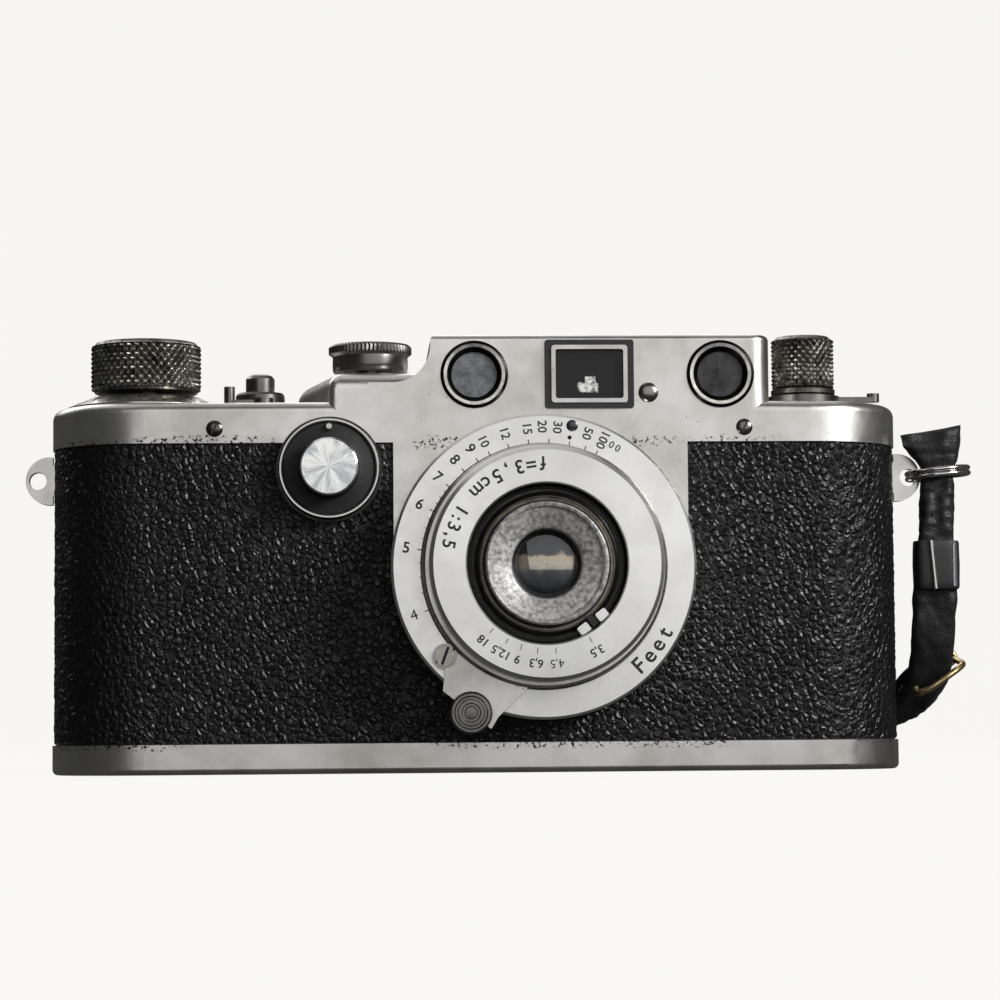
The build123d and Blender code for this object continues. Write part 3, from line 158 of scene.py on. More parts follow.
class Look:
    """A node material in the making. Its textures are laid out in the shared frame, in metres."""

    def __init__(self, name, colour, metallic, roughness):
        self.material = bpy.data.materials.new(name)
        self.material.use_nodes = True
        self.tree = self.material.node_tree
        self.shader = self.tree.nodes["Principled BSDF"]
        self.set("Base Color", (*colour, 1))
        self.set("Metallic", metallic)
        self.set("Roughness", roughness)
        self.place = self.tree.nodes.new("ShaderNodeTexCoord").outputs["Object"]

    def set(self, socket, value):
        self.shader.inputs[socket].default_value = value

    def feed(self, socket, output):
        self.tree.links.new(output, self.shader.inputs[socket])

    def colour(self, output):
        self.feed("Base Color", output)

    def node(self, kind, inputs, **settings):
        """Adds a node. Its inputs are sockets to link or plain values, with colours as three numbers."""
        node = self.tree.nodes.new("ShaderNode" + kind)
        for key, value in settings.items():
            setattr(node, key, value)
        for key, value in inputs.items():
            socket = node.inputs[key]
            if isinstance(value, bpy.types.NodeSocket):
                self.tree.links.new(value, socket)
            else:
                socket.default_value = (*value, 1) if socket.type == "RGBA" else value
        return node

    def stretched(self, x, y, z):
        """The shared place, scaled along each axis."""
        return self.node("Mapping", {"Vector": self.place, "Scale": (x, y, z)}).outputs[0]

    def noise(self, scale, detail=3.0, roughness=0.5, place=None):
        inputs = {"Vector": place or self.place, "Scale": scale, "Detail": detail, "Roughness": roughness}
        return self.node("TexNoise", inputs).outputs["Fac"]

    def cells(self, scale, feature="F1", place=None):
        inputs = {"Vector": place or self.place, "Scale": scale}
        return self.node("TexVoronoi", inputs, feature=feature).outputs["Distance"]

    def steps(self, value, *stops):
        """A smooth change from one colour or level to the next, as value rises."""
        ramp = self.node("ValToRGB", {"Fac": value})
        points = ramp.color_ramp.elements
        while len(points) < len(stops):
            points.new(0.5)
        for point, (position, level) in zip(points, stops):
            point.position = position
            point.color = (*(level if isinstance(level, tuple) else grey(level)), 1)
        return ramp.outputs["Color"]

    def maths(self, operation, a, b=0.0):
        return self.node("Math", {0: a, 1: b}, operation=operation).outputs[0]

    def plus(self, a, b):
        return self.maths("ADD", a, b)

    def minus(self, a, b):
        return self.maths("SUBTRACT", a, b)

    def times(self, a, b):
        return self.maths("MULTIPLY", a, b)

    def over(self, a, b):
        return self.maths("DIVIDE", a, b)

    def mix(self, factor, a, b):
        """The colour a where the factor is 0 and b where it is 1."""
        return self.node("Mix", {"Factor": factor, 6: a, 7: b}, data_type="RGBA").outputs[2]

    def axis(self, letter):
        return self.node("SeparateXYZ", {"Vector": self.place}).outputs[letter]

    def off_axis(self, centre):
        """How far to the right of an axis that runs forwards through the centre, and how far above it."""
        return self.minus(self.axis("X"), centre.x), self.minus(self.axis("Z"), centre.z)

    def distance_from(self, centre):
        across, up = self.off_axis(centre)
        return self.maths("SQRT", self.plus(self.times(across, across), self.times(up, up)))

    def turn_about(self, centre):
        across, up = self.off_axis(centre)
        return self.maths("ARCTAN2", up, across)

    def rough_between(self, texture, low, high):
        """Makes the roughness uneven: `low` where the texture is dark and `high` where it is light."""
        self.feed("Roughness", self.steps(texture, (0.3, low), (0.7, high)))

    def bump(self, height, strength, depth):
        inputs = {"Height": height, "Strength": strength, "Distance": depth}
        self.feed("Normal", self.node("Bump", inputs).outputs[0])


def plain(name, colour, metallic, roughness):
    look = Look(name, colour, metallic, roughness)
    look.rough_between(look.noise(9.0, 4.0), roughness - 0.05, roughness + 0.05)
    return look.material


def worn_chrome(name, light, dark, roughness, scratch=0.5, pit_bands=()):
    """Satin chrome with cloudy tarnish, fine scratches and, along given heights, small dark pits."""
    look = Look(name, light, 1.0, roughness)
    cloud = look.noise(70.0, 6.0, 0.62)
    colour = look.mix(look.steps(cloud, (0.34, 1.0), (0.62, 0.0)), light, dark)
    specks = look.steps(look.cells(950.0), (0.06, 1.0), (0.16, 0.0))
    few = look.steps(look.noise(160.0, 2.0), (0.58, 0.0), (0.66, 1.0))
    wear = look.times(look.times(specks, few), 0.55)
    for height, reach in pit_bands:
        away = look.maths("ABSOLUTE", look.minus(look.axis("Z"), height))
        near = look.maths("MAXIMUM", look.minus(1.0, look.over(away, reach)), 0.0)
        blots = look.steps(look.noise(1500.0, 3.0, 0.7), (0.54, 0.0), (0.62, 1.0))
        patches = look.steps(look.noise(45.0, 2.0), (0.50, 0.0), (0.66, 1.0))
        band = look.times(near, look.times(blots, patches))
        wear = look.maths("MAXIMUM", wear, look.steps(band, (0.06, 0.0), (0.22, 1.0)))
    colour = look.mix(wear, colour, (0.05, 0.04, 0.03))
    look.colour(colour)
    rough = look.steps(look.noise(240.0, 5.0, 0.6), (0.3, roughness - 0.03), (0.7, roughness + 0.06))
    look.feed("Roughness", look.plus(rough, look.times(wear, 0.35)))
    lines = look.noise(900.0, 2.0, 0.6, look.stretched(0.12, 0.12, 2.0))
    fine = look.plus(look.times(lines, scratch), look.noise(2600.0, 2.0))
    look.bump(look.minus(fine, look.times(wear, 2.0)), 0.10, 0.00004)
    return look.material


def turned_chrome(name, light, dark, roughness, centre, rings=2600.0, metallic=1.0):
    """Chrome turned on a lathe: faint rings about an axis that runs forwards, and light spokes painted into its
    colour as a painted reflection.
    """
    look = Look(name, light, metallic, roughness)
    cloud = look.noise(95.0 if metallic > 0.5 else 1500.0, 5.0, 0.6)
    radius, turn = look.distance_from(centre), look.turn_about(centre)
    colour = look.mix(look.steps(cloud, (0.36, 1.0), (0.60, 0.0)), light, dark)
    # Painted reflection: the colour darkens above and below the axis and stays light beside it, standing in for the
    # spokes of light that turned metal reflects.
    painted_highlight_fan = look.steps(look.maths("ABSOLUTE", look.maths("COSINE", turn)), (0.30, 0.30), (0.85, 0.0))
    look.colour(look.mix(painted_highlight_fan, colour, tuple(level * 0.6 for level in dark)))
    look.rough_between(look.noise(400.0, 4.0), roughness - 0.01, roughness + 0.04)
    groove = look.maths("SINE", look.times(radius, rings * tau))
    grain = look.node("CombineXYZ", {"X": look.times(radius, 3000.0), "Y": turn}).outputs[0]
    scuff = look.noise(3.0, 3.0, 0.6, grain)
    look.bump(look.plus(look.times(groove, 0.25), scuff), 0.12, 0.00003)
    return look.material


def grained_black(name):
    """Hard black covering: glossy on the tops of its pebbles and dull between them."""
    look = Look(name, grey(0.006), 0.0, 0.3)
    warp = look.node("TexNoise", {"Vector": look.place, "Scale": 500.0, "Detail": 2.0}).outputs["Color"]
    sway = look.node("VectorMath", {0: warp, 1: grey(0.0009)}, operation="MULTIPLY").outputs[0]
    place = look.node("VectorMath", {0: look.place, 1: sway}, operation="ADD").outputs[0]
    fine = look.noise(3800.0, 3.0, 0.6)
    edge = look.cells(900.0, "DISTANCE_TO_EDGE", place)
    top = look.steps(edge, (0.02, 0.0), (0.30, 1.0))
    dull = look.steps(fine, (0.35, 0.34), (0.68, 0.52))
    look.feed("Roughness", look.minus(dull, look.times(top, 0.22)))
    dust = look.steps(look.noise(60.0, 6.0, 0.7), (0.52, (0.005, 0.005, 0.0055)), (0.74, (0.014, 0.013, 0.012)))
    look.colour(dust)
    look.bump(look.plus(look.times(fine, 0.25), top), 1.0, 0.00016)
    look.set("Specular IOR Level", 0.34)
    return look.material


def black_enamel(name, colour=grey(0.012), roughness=0.3):
    look = Look(name, colour, 0.0, roughness)
    chips = look.steps(look.noise(700.0, 5.0, 0.7), (0.66, 0.0), (0.70, 1.0))
    look.colour(look.mix(chips, colour, (0.16, 0.14, 0.11)))
    look.rough_between(look.noise(500.0), roughness - 0.05, roughness + 0.15)
    look.bump(look.noise(1500.0, 3.0), 0.12, 0.00004)
    return look.material


def knurled_metal(name):
    """Dark worn chrome for knurled rims, mottled darker and lighter by grime."""
    look = Look(name, (0.22, 0.215, 0.19), 1.0, 0.32)
    grime = look.noise(520.0, 5.0, 0.7)
    look.colour(look.steps(grime, (0.36, (0.035, 0.034, 0.028)), (0.62, (0.25, 0.245, 0.215))))
    look.feed("Roughness", look.steps(grime, (0.35, 0.50), (0.65, 0.26)))
    look.bump(look.noise(1800.0, 3.0), 0.15, 0.00004)
    return look.material


def coated_glass(name, centre, radius):
    """A front element seen from outside, its reflections painted into its colour: dark above, a warm painted
    highlight band across its middle, blue-grey below, and painted shade towards the rim.
    """
    look = Look(name, grey(0.05), 0.55, 0.04)
    part = look.over(look.distance_from(centre), radius)
    wave = look.times(look.minus(look.noise(520.0, 3.0), 0.5), 0.5)
    up = look.over(look.minus(look.axis("Z"), centre.z), radius)
    # Painted reflection: the colour changes with height, dark above, a warm highlight band across the middle and
    # blue-grey below.
    zones = look.steps(
        look.plus(look.times(look.plus(up, wave), 0.5), 0.5),
        (0.10, (0.035, 0.037, 0.041)), (0.36, (0.15, 0.16, 0.175)), (0.46, (0.40, 0.36, 0.29)),
        (0.62, (0.42, 0.35, 0.25)), (0.66, (0.045, 0.047, 0.052)), (0.95, (0.02, 0.02, 0.022)),
    )
    # Painted shade: the glass darkens towards its rim.
    edge = look.steps(part, (0.72, 0.0), (0.94, 1.0))
    look.colour(look.mix(edge, zones, (0.012, 0.012, 0.013)))
    look.set("Coat Weight", 1.0)
    look.set("Coat Roughness", 0.02)
    look.bump(look.noise(160.0, 2.0), 0.04, 0.00004)
    return look.material


def window_glass(name, colour, haze=(0.04, 0.04, 0.045)):
    """Old window glass: dark inside, with a faint mottled haze."""
    look = Look(name, colour, 0.0, 0.05)
    film = look.noise(700.0, 5.0, 0.7)
    look.colour(look.steps(film, (0.38, colour), (0.66, haze)))
    look.feed("Roughness", look.steps(film, (0.4, 0.04), (0.75, 0.22)))
    look.set("Specular IOR Level", 0.3)
    return look


def ringed(name, centres, zones, metallic, roughness):
    """Flat rings of colour about the nearest of some axes that run forwards."""
    look = Look(name, zones[0][1], metallic, roughness)
    away = [look.distance_from(centre) for centre in centres]
    near = away[0]
    for other in away[1:]:
        near = look.maths("MINIMUM", near, other)
    span = zones[-1][0]
    stops = []
    for (radius, colour), following in zip(zones, zones[1:] + (None,)):
        stops.append((radius / span, colour))
        if following:
            stops.append((following[0] / span - 0.006, colour))
    tone = look.steps(look.over(near, span), *stops)
    grime = look.steps(look.noise(520.0, 5.0, 0.7), (0.40, 0.55), (0.60, 1.0))
    look.colour(look.mix(grime, (0.02, 0.018, 0.015), tone))
    look.rough_between(look.noise(400.0), roughness - 0.06, roughness + 0.08)
    look.bump(look.noise(1400.0, 3.0), 0.1, 0.00003)
    return look.material


def strap_leather(name):
    """Supple black leather, creased across its length and rubbed grey on its folds."""
    look = Look(name, (0.012, 0.011, 0.011), 0.0, 0.5)
    crease = look.noise(260.0, 6.0, 0.65, look.stretched(1.0, 1.0, 1.6))
    look.colour(look.steps(crease, (0.40, (0.005, 0.005, 0.0055)), (0.72, (0.018, 0.017, 0.0165))))
    look.rough_between(crease, 0.62, 0.38)
    look.bump(look.plus(crease, look.times(look.cells(2600.0), 0.3)), 0.6, 0.00025)
    look.set("Sheen Weight", 0.05)
    look.set("Specular IOR Level", 0.35)
    return look.material


def brass_metal(name):
    look = Look(name, (0.66, 0.50, 0.24), 1.0, 0.3)
    tarnish = look.noise(500.0, 5.0, 0.7)
    look.colour(look.steps(tarnish, (0.38, (0.20, 0.13, 0.05)), (0.6, (0.72, 0.57, 0.30))))
    look.feed("Roughness", look.steps(tarnish, (0.35, 0.5), (0.65, 0.24)))
    look.bump(look.noise(1500.0), 0.1, 0.00003)
    return look.material


def cloth_black(name):
    look = Look(name, grey(0.012), 0.0, 0.8)
    warp, weft = (look.maths("SINE", look.times(look.axis(way), 20000.0)) for way in "XZ")
    look.bump(look.times(warp, weft), 0.3, 0.00003)
    return look.material


# ---------------------------------------------------------------- mesh makers


def piece(name, mesh, body, material=None, sharp=32.0):
    """Links a mesh as a piece that rides on a body, smooth apart from edges sharper than `sharp` degrees."""
    if material:
        mesh.materials.append(material)
    mesh.polygons.foreach_set("use_smooth", [True] * len(mesh.polygons))
    mesh.set_sharp_from_angle(angle=radians(sharp))
    made = bpy.data.objects.new(name, mesh)
    link(made)
    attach(made, body)
    return made


def mesh_of(name, made):
    """Turns a bmesh into a mesh and frees it."""
    mesh = bpy.data.meshes.new(name)
    made.to_mesh(mesh)
    made.free()
    return mesh


def lathe(name, outline, origin, way, turns, shape=None):
    """A mesh turned from (r, h) points about an axis. `shape(angle, r, h, index)` may move each point."""
    made = bmesh.new()
    rows = []
    for angle in (tau * i / turns for i in range(turns)):
        row = []
        for index, (r, h) in enumerate(outline):
            if shape:
                r, h = shape(angle, r, h, index)
            across, along = r * cos(angle), r * sin(angle)
            spot = (across, along, h) if way == "up" else (across, -h, along)
            row.append(made.verts.new(Vector(origin) + Vector(spot)))
        rows.append(row)
    for here, there in zip(rows, rows[1:] + rows[:1]):
        for j in range(len(outline) - 1):
            made.faces.new((here[j], there[j], there[j + 1], here[j + 1]))
    bmesh.ops.remove_doubles(made, verts=made.verts, dist=1e-7)
    bmesh.ops.recalc_face_normals(made, faces=made.faces)
    return mesh_of(name, made)


def turned(name, outline, origin, way, turns, body, material, shape=None, sharp=32.0):
    """A piece made on the lathe."""
    return piece(name, lathe(name, outline, origin, way, turns, shape), body, material, sharp)


def saw(value):
    """A triangle wave: 0 at whole numbers and 1 halfway between them."""
    part = value % 1.0
    return 1.0 - abs(2.0 * part - 1.0)


def knurled_knob(name, node, body, radius, low, high, lower, top, count, depth):
    """A knob with crossed knurling between two heights. `lower` and `top` are the plain outlines."""
    _, _, centre = node_box(node)
    centre.z = 0.0
    rows = 44
    band = [(radius, low + (high - low) * i / rows) for i in range(rows + 1)]
    first = len(lower)
    lead = tau * radius / count

    def shape(angle, r, h, index):
        if not first < index < first + rows:
            return r, h
        turn = angle / tau * count
        rise = (h - low) / lead * 0.85
        return r - depth + depth * 1.4 * min(saw(turn + rise), saw(turn - rise)), h

    made = turned(name, lower + band + top, centre, "up", count * 8, body, KNURL, shape, 50.0)
    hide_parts(node)


ENGRAVED_RISE = 0.03 * MM


def letter(text, height, matrix, made):
    """Adds a piece of text, centred on its own middle, to a bmesh. It faces +Z before placing."""
    curve = bpy.data.curves.new("letters", "FONT")
    curve.body = text
    curve.size = height * 1.36
    curve.align_x, curve.align_y = "CENTER", "CENTER"
    curve.extrude = ENGRAVED_RISE
    curve.offset = 0.0 if "4" in text else height * 0.022
    curve.resolution_u = 3
    holder = bpy.data.objects.new("letters", curve)
    mesh = bpy.data.meshes.new_from_object(holder)
    mesh.transform(matrix)
    made.from_mesh(mesh)
    bpy.data.objects.remove(holder)
    bpy.data.curves.remove(curve)
    bpy.data.meshes.remove(mesh)


def facing_front(x, y, z, turn):
    """Places text that faces -Y and is turned anticlockwise as seen from the front."""
    stand = spin(radians(-turn), "Y") @ spin(pi / 2, "X")
    return shift(x, y, z) @ stand


def on_ring(radius, degrees):
    """A point (x, z) at a distance from the lens's axis, by its angle from the right."""
    angle = radians(degrees)
    return LENS.x + radius * cos(angle), LENS.z + radius * sin(angle)


def on_face(radius, degrees, face, turn):
    """The same place on a face of the lens, ready for text or a line."""
    x, z = on_ring(radius, degrees)
    return facing_front(x, face, z, turn)


def stroke(made, matrix, length, width, depth=ENGRAVED_RISE):
    """Adds a short engraved line, along x before placing, to a bmesh."""
    scale = Matrix.Diagonal((length, width, 2 * depth, 1.0))
    bmesh.ops.create_cube(made, size=1.0, matrix=matrix @ scale)


def engraving(name, made, body):
    """Links lines and letters as an inked piece that rides on a body."""
    mesh = mesh_of(name, made)
    mesh.materials.append(INK)
    drawn = bpy.data.objects.new(name, mesh)
    link(drawn)
    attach(drawn, body)


def paint(material, *nodes):
    """Gives CAD nodes a better material in place of the record's plain one."""
    for name in nodes:
        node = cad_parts[name]
        if not node.material_slots:
            node.data.materials.append(material)
        for slot in node.material_slots:
            slot.material = material


# ---------------------------------------------------------------- the object: CAD nodes' materials

COVER_LINE = 51.8 * MM
BASE_LINE = SHELL_HIGH.z

SATIN = worn_chrome(
    "satin_chrome_worn", (0.74, 0.73, 0.70), (0.52, 0.50, 0.46), 0.30,
    pit_bands=((COVER_LINE, 1.5 * MM), (BASE_LINE, 1.2 * MM)),
)
SATIN_PLAIN = worn_chrome("satin_chrome_plain", (0.72, 0.71, 0.68), (0.50, 0.48, 0.45), 0.28)
DARK_CHROME = worn_chrome("chrome_dark", (0.27, 0.265, 0.25), (0.13, 0.125, 0.115), 0.30)
RING_CHROME = turned_chrome("turned_chrome", (0.96, 0.955, 0.94), (0.84, 0.83, 0.81), 0.30, LENS)
CELL_METAL = turned_chrome("cell_metal", (0.62, 0.61, 0.59), (0.20, 0.195, 0.185), 0.42, LENS, 1600.0, 0.2)
BLACK = black_enamel("black_enamel")
DULL_BLACK = black_enamel("dull_black", grey(0.010), 0.55)
INK = plain("engraving_ink", grey(0.012), 0.0, 0.55)
KNURL = knurled_metal("knurled_chrome")
DULL_STEEL = worn_chrome("dull_steel", (0.30, 0.29, 0.27), (0.10, 0.09, 0.08), 0.22)
STEEL = worn_chrome("bare_steel", (0.56, 0.55, 0.52), (0.30, 0.28, 0.25), 0.26)
BLUED = worn_chrome("blued_steel", (0.10, 0.10, 0.12), grey(0.05), 0.3)
BRASS = brass_metal("old_brass")
CAST = plain("blackened_casting", (0.03, 0.03, 0.032), 0.2, 0.6)
GRAIN = grained_black("grained_covering")
CLOTH = cloth_black("curtain_cloth_black")
LEATHER = strap_leather("strap_leather_black")
POLISHED = worn_chrome("polished_steel", (0.80, 0.79, 0.77), (0.60, 0.58, 0.54), 0.16)
KEEPER_BLACK = black_enamel("keeper_black", grey(0.010), 0.42)
# A lighter grey for the keeper's right face: a painted highlight.
PAINTED_HIGHLIGHT_GREY = worn_chrome("painted_highlight_grey", (0.22, 0.22, 0.24), (0.13, 0.13, 0.14), 0.42)

paint(SATIN, "top_cover", "base_plate")
paint(SATIN_PLAIN, "accessory_shoe", "focus_ring", "strap_lugs", "lens_flange", "base_key")
paint(DARK_CHROME, "release_collar", "rewind_lever", "diopter_lever", "release_button")
paint(STEEL, "flange_screws", "stop_screw", "release_spring", "advance_gear", "sprocket_drum", "film_gate",
      "pressure_plate", "rewind_shaft")
paint(BLACK, "finder_frame", "finder_eyepiece", "rangefinder_eyepiece", "slow_dial_seat")
paint(RING_CHROME, "scale_ring", "lens_barrel")
paint(DULL_BLACK, "aperture_ring")
paint(CAST, "body_shell", "shutter_crate", "curtain_roller", "rangefinder_arm")
paint(STEEL, "take_up_spool", "shutter_drum")
paint(BRASS, "focus_carrier", "tripod_bush")
paint(BLUED, *(f"iris_blade_{i}" for i in range(1, 6)))
paint(CLOTH, "shutter_curtains")
paint(SATIN_PLAIN, "finder_bezel", "counter_disc", "speed_post")
BEZEL_LOW, BEZEL_HIGH, _ = node_box("rangefinder_bezels")
BEZEL_R = (BEZEL_HIGH.z - BEZEL_LOW.z) / 2
WINDOWS = [
    Vector((BEZEL_LOW.x + BEZEL_R, BEZEL_LOW.y, BEZEL_LOW.z + BEZEL_R)),
    Vector((BEZEL_HIGH.x - BEZEL_R, BEZEL_LOW.y, BEZEL_LOW.z + BEZEL_R)),
]
RING_BLACK, RING_WHITE = grey(0.012), (0.78, 0.76, 0.70)
WINDOW_ZONES = ((0.0, RING_BLACK), (4.35 * MM, RING_WHITE), (4.85 * MM, RING_BLACK), (5.6 * MM, RING_BLACK))
paint(ringed("window_rings", WINDOWS, WINDOW_ZONES, 0.9, 0.26), "rangefinder_bezels")
GLASS_LOW, GLASS_HIGH, _ = node_box("front_element")
GLASS_R = (GLASS_HIGH.x - GLASS_LOW.x) / 2
paint(coated_glass("front_glass_painted_reflection", LENS, GLASS_R), "front_element")
paint(window_glass("rear_glass", (0.02, 0.02, 0.025)).material, "rear_element")


def finder_glass():
    """Near-black window glass with two pale patches low on it that are painted light: the light seen through the
    finder, painted into the glass's colour.
    """
    look = window_glass("finder_glass_painted_light", (0.008, 0.008, 0.009), (0.022, 0.022, 0.024))
    low, high, _ = node_box("finder_glass")
    x, z = (low.x + high.x) / 2, (low.z + high.z) / 2
    wobble = look.times(look.minus(look.noise(900.0, 2.0), 0.5), 0.9 * MM)

    def off(axis, centre, half):
        """How far off the centre, as a share of half the painted patch's width or height."""
        place = look.plus(look.axis(axis), wobble)
        return look.over(look.maths("ABSOLUTE", look.minus(place, centre)), half)

    def face(across, up, half_width, half_height):
        reach = look.maths("MAXIMUM", off("X", x + across, half_width), off("Z", z + up, half_height))
        return look.steps(reach, (0.82, 1.0), (0.98, 0.0))

    # Painted light: two pale patches low in the glass's colour stand in for the light seen through the finder.
    lower = face(-0.2 * MM, -2.15 * MM, 1.7 * MM, 0.85 * MM)
    upper = face(0.25 * MM, -0.85 * MM, 0.9 * MM, 0.6 * MM)
    painted_light_patches = look.maths("MAXIMUM", lower, upper)
    painted_light_tone = look.steps(look.noise(1300.0, 4.0, 0.7), (0.36, grey(0.16)), (0.56, (0.86, 0.85, 0.82)))
    look.colour(look.mix(painted_light_patches, (0.008, 0.008, 0.009), painted_light_tone))
    return look.material


def side_glass():
    """The two round windows: greyer glass on the left one, darker on the right."""
    look = window_glass("rangefinder_glass_grey", (0.05, 0.052, 0.058), (0.15, 0.155, 0.165))
    film = look.noise(620.0, 5.0, 0.7)
    pale = look.steps(film, (0.36, (0.085, 0.088, 0.096)), (0.62, (0.20, 0.205, 0.22)))
    dark = look.steps(film, (0.36, (0.014, 0.014, 0.015)), (0.66, (0.055, 0.052, 0.055)))
    part = look.maths("GREATER_THAN", look.axis("X"), LENS.x)
    look.colour(look.mix(part, pale, dark))
    return look.material


paint(finder_glass(), "finder_glass")
paint(side_glass(), "rangefinder_glass")

# ---------------------------------------------------------------- knurled knobs and dials


ADVANCE_KNOB_HEIGHT, REWIND_KNOB_HEIGHT = 8.2 * MM, 9.4 * MM
ADVANCE_KNURLS, REWIND_KNURLS = 44, 27


def add_advance_knob():
    low, high, centre = node_box("advance_knob")
    r = (high.x - low.x) / 2
    top, foot = high.z, high.z - ADVANCE_KNOB_HEIGHT
    lower = [(0.0, foot)] + mm_from(r, foot, (-0.9, 0), (-0.5, 0.15), (-0.4, 0.5))
    cap = mm_from(r, top, (-0.35, -0.45), (-0.7, 0), (-1.5, 0), (-1.9, -0.35), (-3.2, -0.35), (-3.6, -0.1))
    cap += [(0.0, top - 0.1 * MM)]
    knurled_knob("advance_knob_knurled", "advance_knob", "advance", r, foot + 0.6 * MM, top - 0.6 * MM,
                 lower, cap, ADVANCE_KNURLS, 0.42 * MM)
    stem = mm_from(0, low.z, (0, 0), (1.95, 0)) + mm_from(0, 0, (1.95, 55.0), (2.65, 55.0)) + [(2.65 * MM, foot)]
    shaft = turned("advance_shaft", stem, (centre.x, centre.y, 0.0), "up", 48, "advance", STEEL)
    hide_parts("advance_knob")
    made = bmesh.new()
    arrow = shift(centre.x, centre.y, top - 0.08 * MM)
    for dash in range(12):
        turned_out = spin(radians(40 + dash * 8), "Z") @ shift(3.6 * MM, 0, 0)
        stroke(made, arrow @ turned_out, 0.22 * MM, 0.55 * MM)
    engraving("advance_arrow", made, "advance")


def add_rewind_knob():
    low, high, _ = node_box("rewind_knob")
    r = (high.x - low.x) / 2 - 0.2 * MM
    top, foot = high.z, high.z - REWIND_KNOB_HEIGHT
    lower = mm_from(0, low.z, (1.25, 0), (2.25, 0)) + [(2.25 * MM, foot)]
    lower += mm_from(r, foot, (0.15, 0), (0.2, 0.7), (-0.1, 0.9), (-0.35, 1.0))
    cap = mm_from(r, top, (-0.35, -0.45), (-0.8, 0), (-1.6, 0), (-1.9, -0.3)) + [(0.0, top - 0.3 * MM)]
    knurled_knob("rewind_knob_knurled", "rewind_knob", "rewind_head", r, foot + 1.1 * MM, top - 0.6 * MM,
                 lower, cap, REWIND_KNURLS, 0.40 * MM)


SPEEDS = ("B", "30", "40", "60", "100", "200", "500", "1000")
SPEED_DIAL_TEETH, SPEED_DIAL_FOOT = 64, 63.8 * MM


def add_speed_dial():
    low, high, centre = node_box("speed_dial")
    rim_r = (high.x - low.x) / 2
    top = high.z
    outline = mm_from(0, low.z, (1.3, 0), (2.2, 0))
    outline += mm_from(0, SPEED_DIAL_FOOT, (2.2, 0), (5.7, 0), (5.95, 0.3), (6.05, 1.2))
    outline += [(6.0 * MM, top - 1.9 * MM), (rim_r - 0.2 * MM, top - 1.5 * MM)]
    first = len(outline)
    outline += mm_from(rim_r, top, (0, -1.4), (0, -1.0), (0, -0.6), (0, -0.35))
    last = len(outline)
    outline += [(rim_r - 0.4 * MM, top)] + mm_from(0, top, (3.0, 0), (2.8, -0.15), (1.95, -0.15))

    def shape(angle, r, h, index):
        if first <= index < last:
            return r - 0.16 * MM * saw(angle / tau * SPEED_DIAL_TEETH), h
        return r, h

    dial = turned("speed_dial_milled", outline, (centre.x, centre.y, 0.0), "up", 8 * SPEED_DIAL_TEETH, "speed",
                  DARK_CHROME, shape, 40.0)
    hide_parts("speed_dial")
    made = bmesh.new()
    for index, speed in enumerate(SPEEDS):
        turn = radians(index * 360 / len(SPEEDS))
        place = shift(centre.x, centre.y, top) @ spin(turn, "Z")
        place = place @ shift(4.6 * MM, 0, 0) @ spin(-pi / 2, "Z")
        letter(speed, 1.1 * MM, place, made)
    engraving("speed_numbers", made, "speed")


COUNTER_MARKS = 40


def add_counter_marks():
    low, high, centre = node_box("counter_disc")
    made = bmesh.new()
    rise = (high.z - low.z - 0.3 * MM) / (4.0 * MM)
    tilt = spin(atan(rise), "Y")

    def place(index, reach):
        """A place on the disc's sloping face, by its mark and its distance from the middle."""
        height = low.z + 0.3 * MM + (12.6 * MM - reach) * rise + 0.02 * MM
        turn = spin(tau * index / COUNTER_MARKS, "Z")
        return shift(centre.x, centre.y, height) @ turn @ shift(reach, 0, 0) @ tilt

    for index in range(COUNTER_MARKS):
        if index % 5:
            stroke(made, place(index, 12.0 * MM - 0.55 * MM), 0.9 * MM, 0.13 * MM)
        else:
            stroke(made, place(index, 12.0 * MM - 0.85 * MM), 1.5 * MM, 0.13 * MM)
            letter(str(index), 1.2 * MM, place(index, 9.9 * MM) @ spin(pi / 2, "Z"), made)
    engraving("counter_marks", made, "counter")


add_advance_knob()
add_rewind_knob()
add_speed_dial()
add_counter_marks()

# ---------------------------------------------------------------- slow-speed dial on the front


SLOW_DIAL_R, SLOW_DIAL_Z = 7.65 * MM, 47.58 * MM


def spun_metal(name, centre):
    """Bright metal spun on its axis, with painted highlights: light rays that turn about the centre, painted into its
    colour.
    """
    look = Look(name, (0.84, 0.84, 0.83), 1.0, 0.24)
    radius, turn = look.distance_from(centre), look.turn_about(centre)
    # Painted highlight: lighter and darker rays about the centre stand in for the fans of light that spun metal
    # reflects.
    painted_highlight_fan = look.node("CombineXYZ", {"X": look.times(radius, 90.0), "Y": look.maths("COSINE", turn),
                                   "Z": look.maths("SINE", turn)}).outputs[0]
    painted_ray_highlights = look.noise(2.4, 3.0, 0.6, painted_highlight_fan)
    look.colour(look.steps(painted_ray_highlights, (0.40, (0.50, 0.52, 0.54)), (0.58, (0.92, 0.92, 0.90))))
    look.set("Anisotropic", 0.75)
    look.bump(look.maths("SINE", look.times(radius, 22000.0)), 0.10, 0.00003)
    return look.material


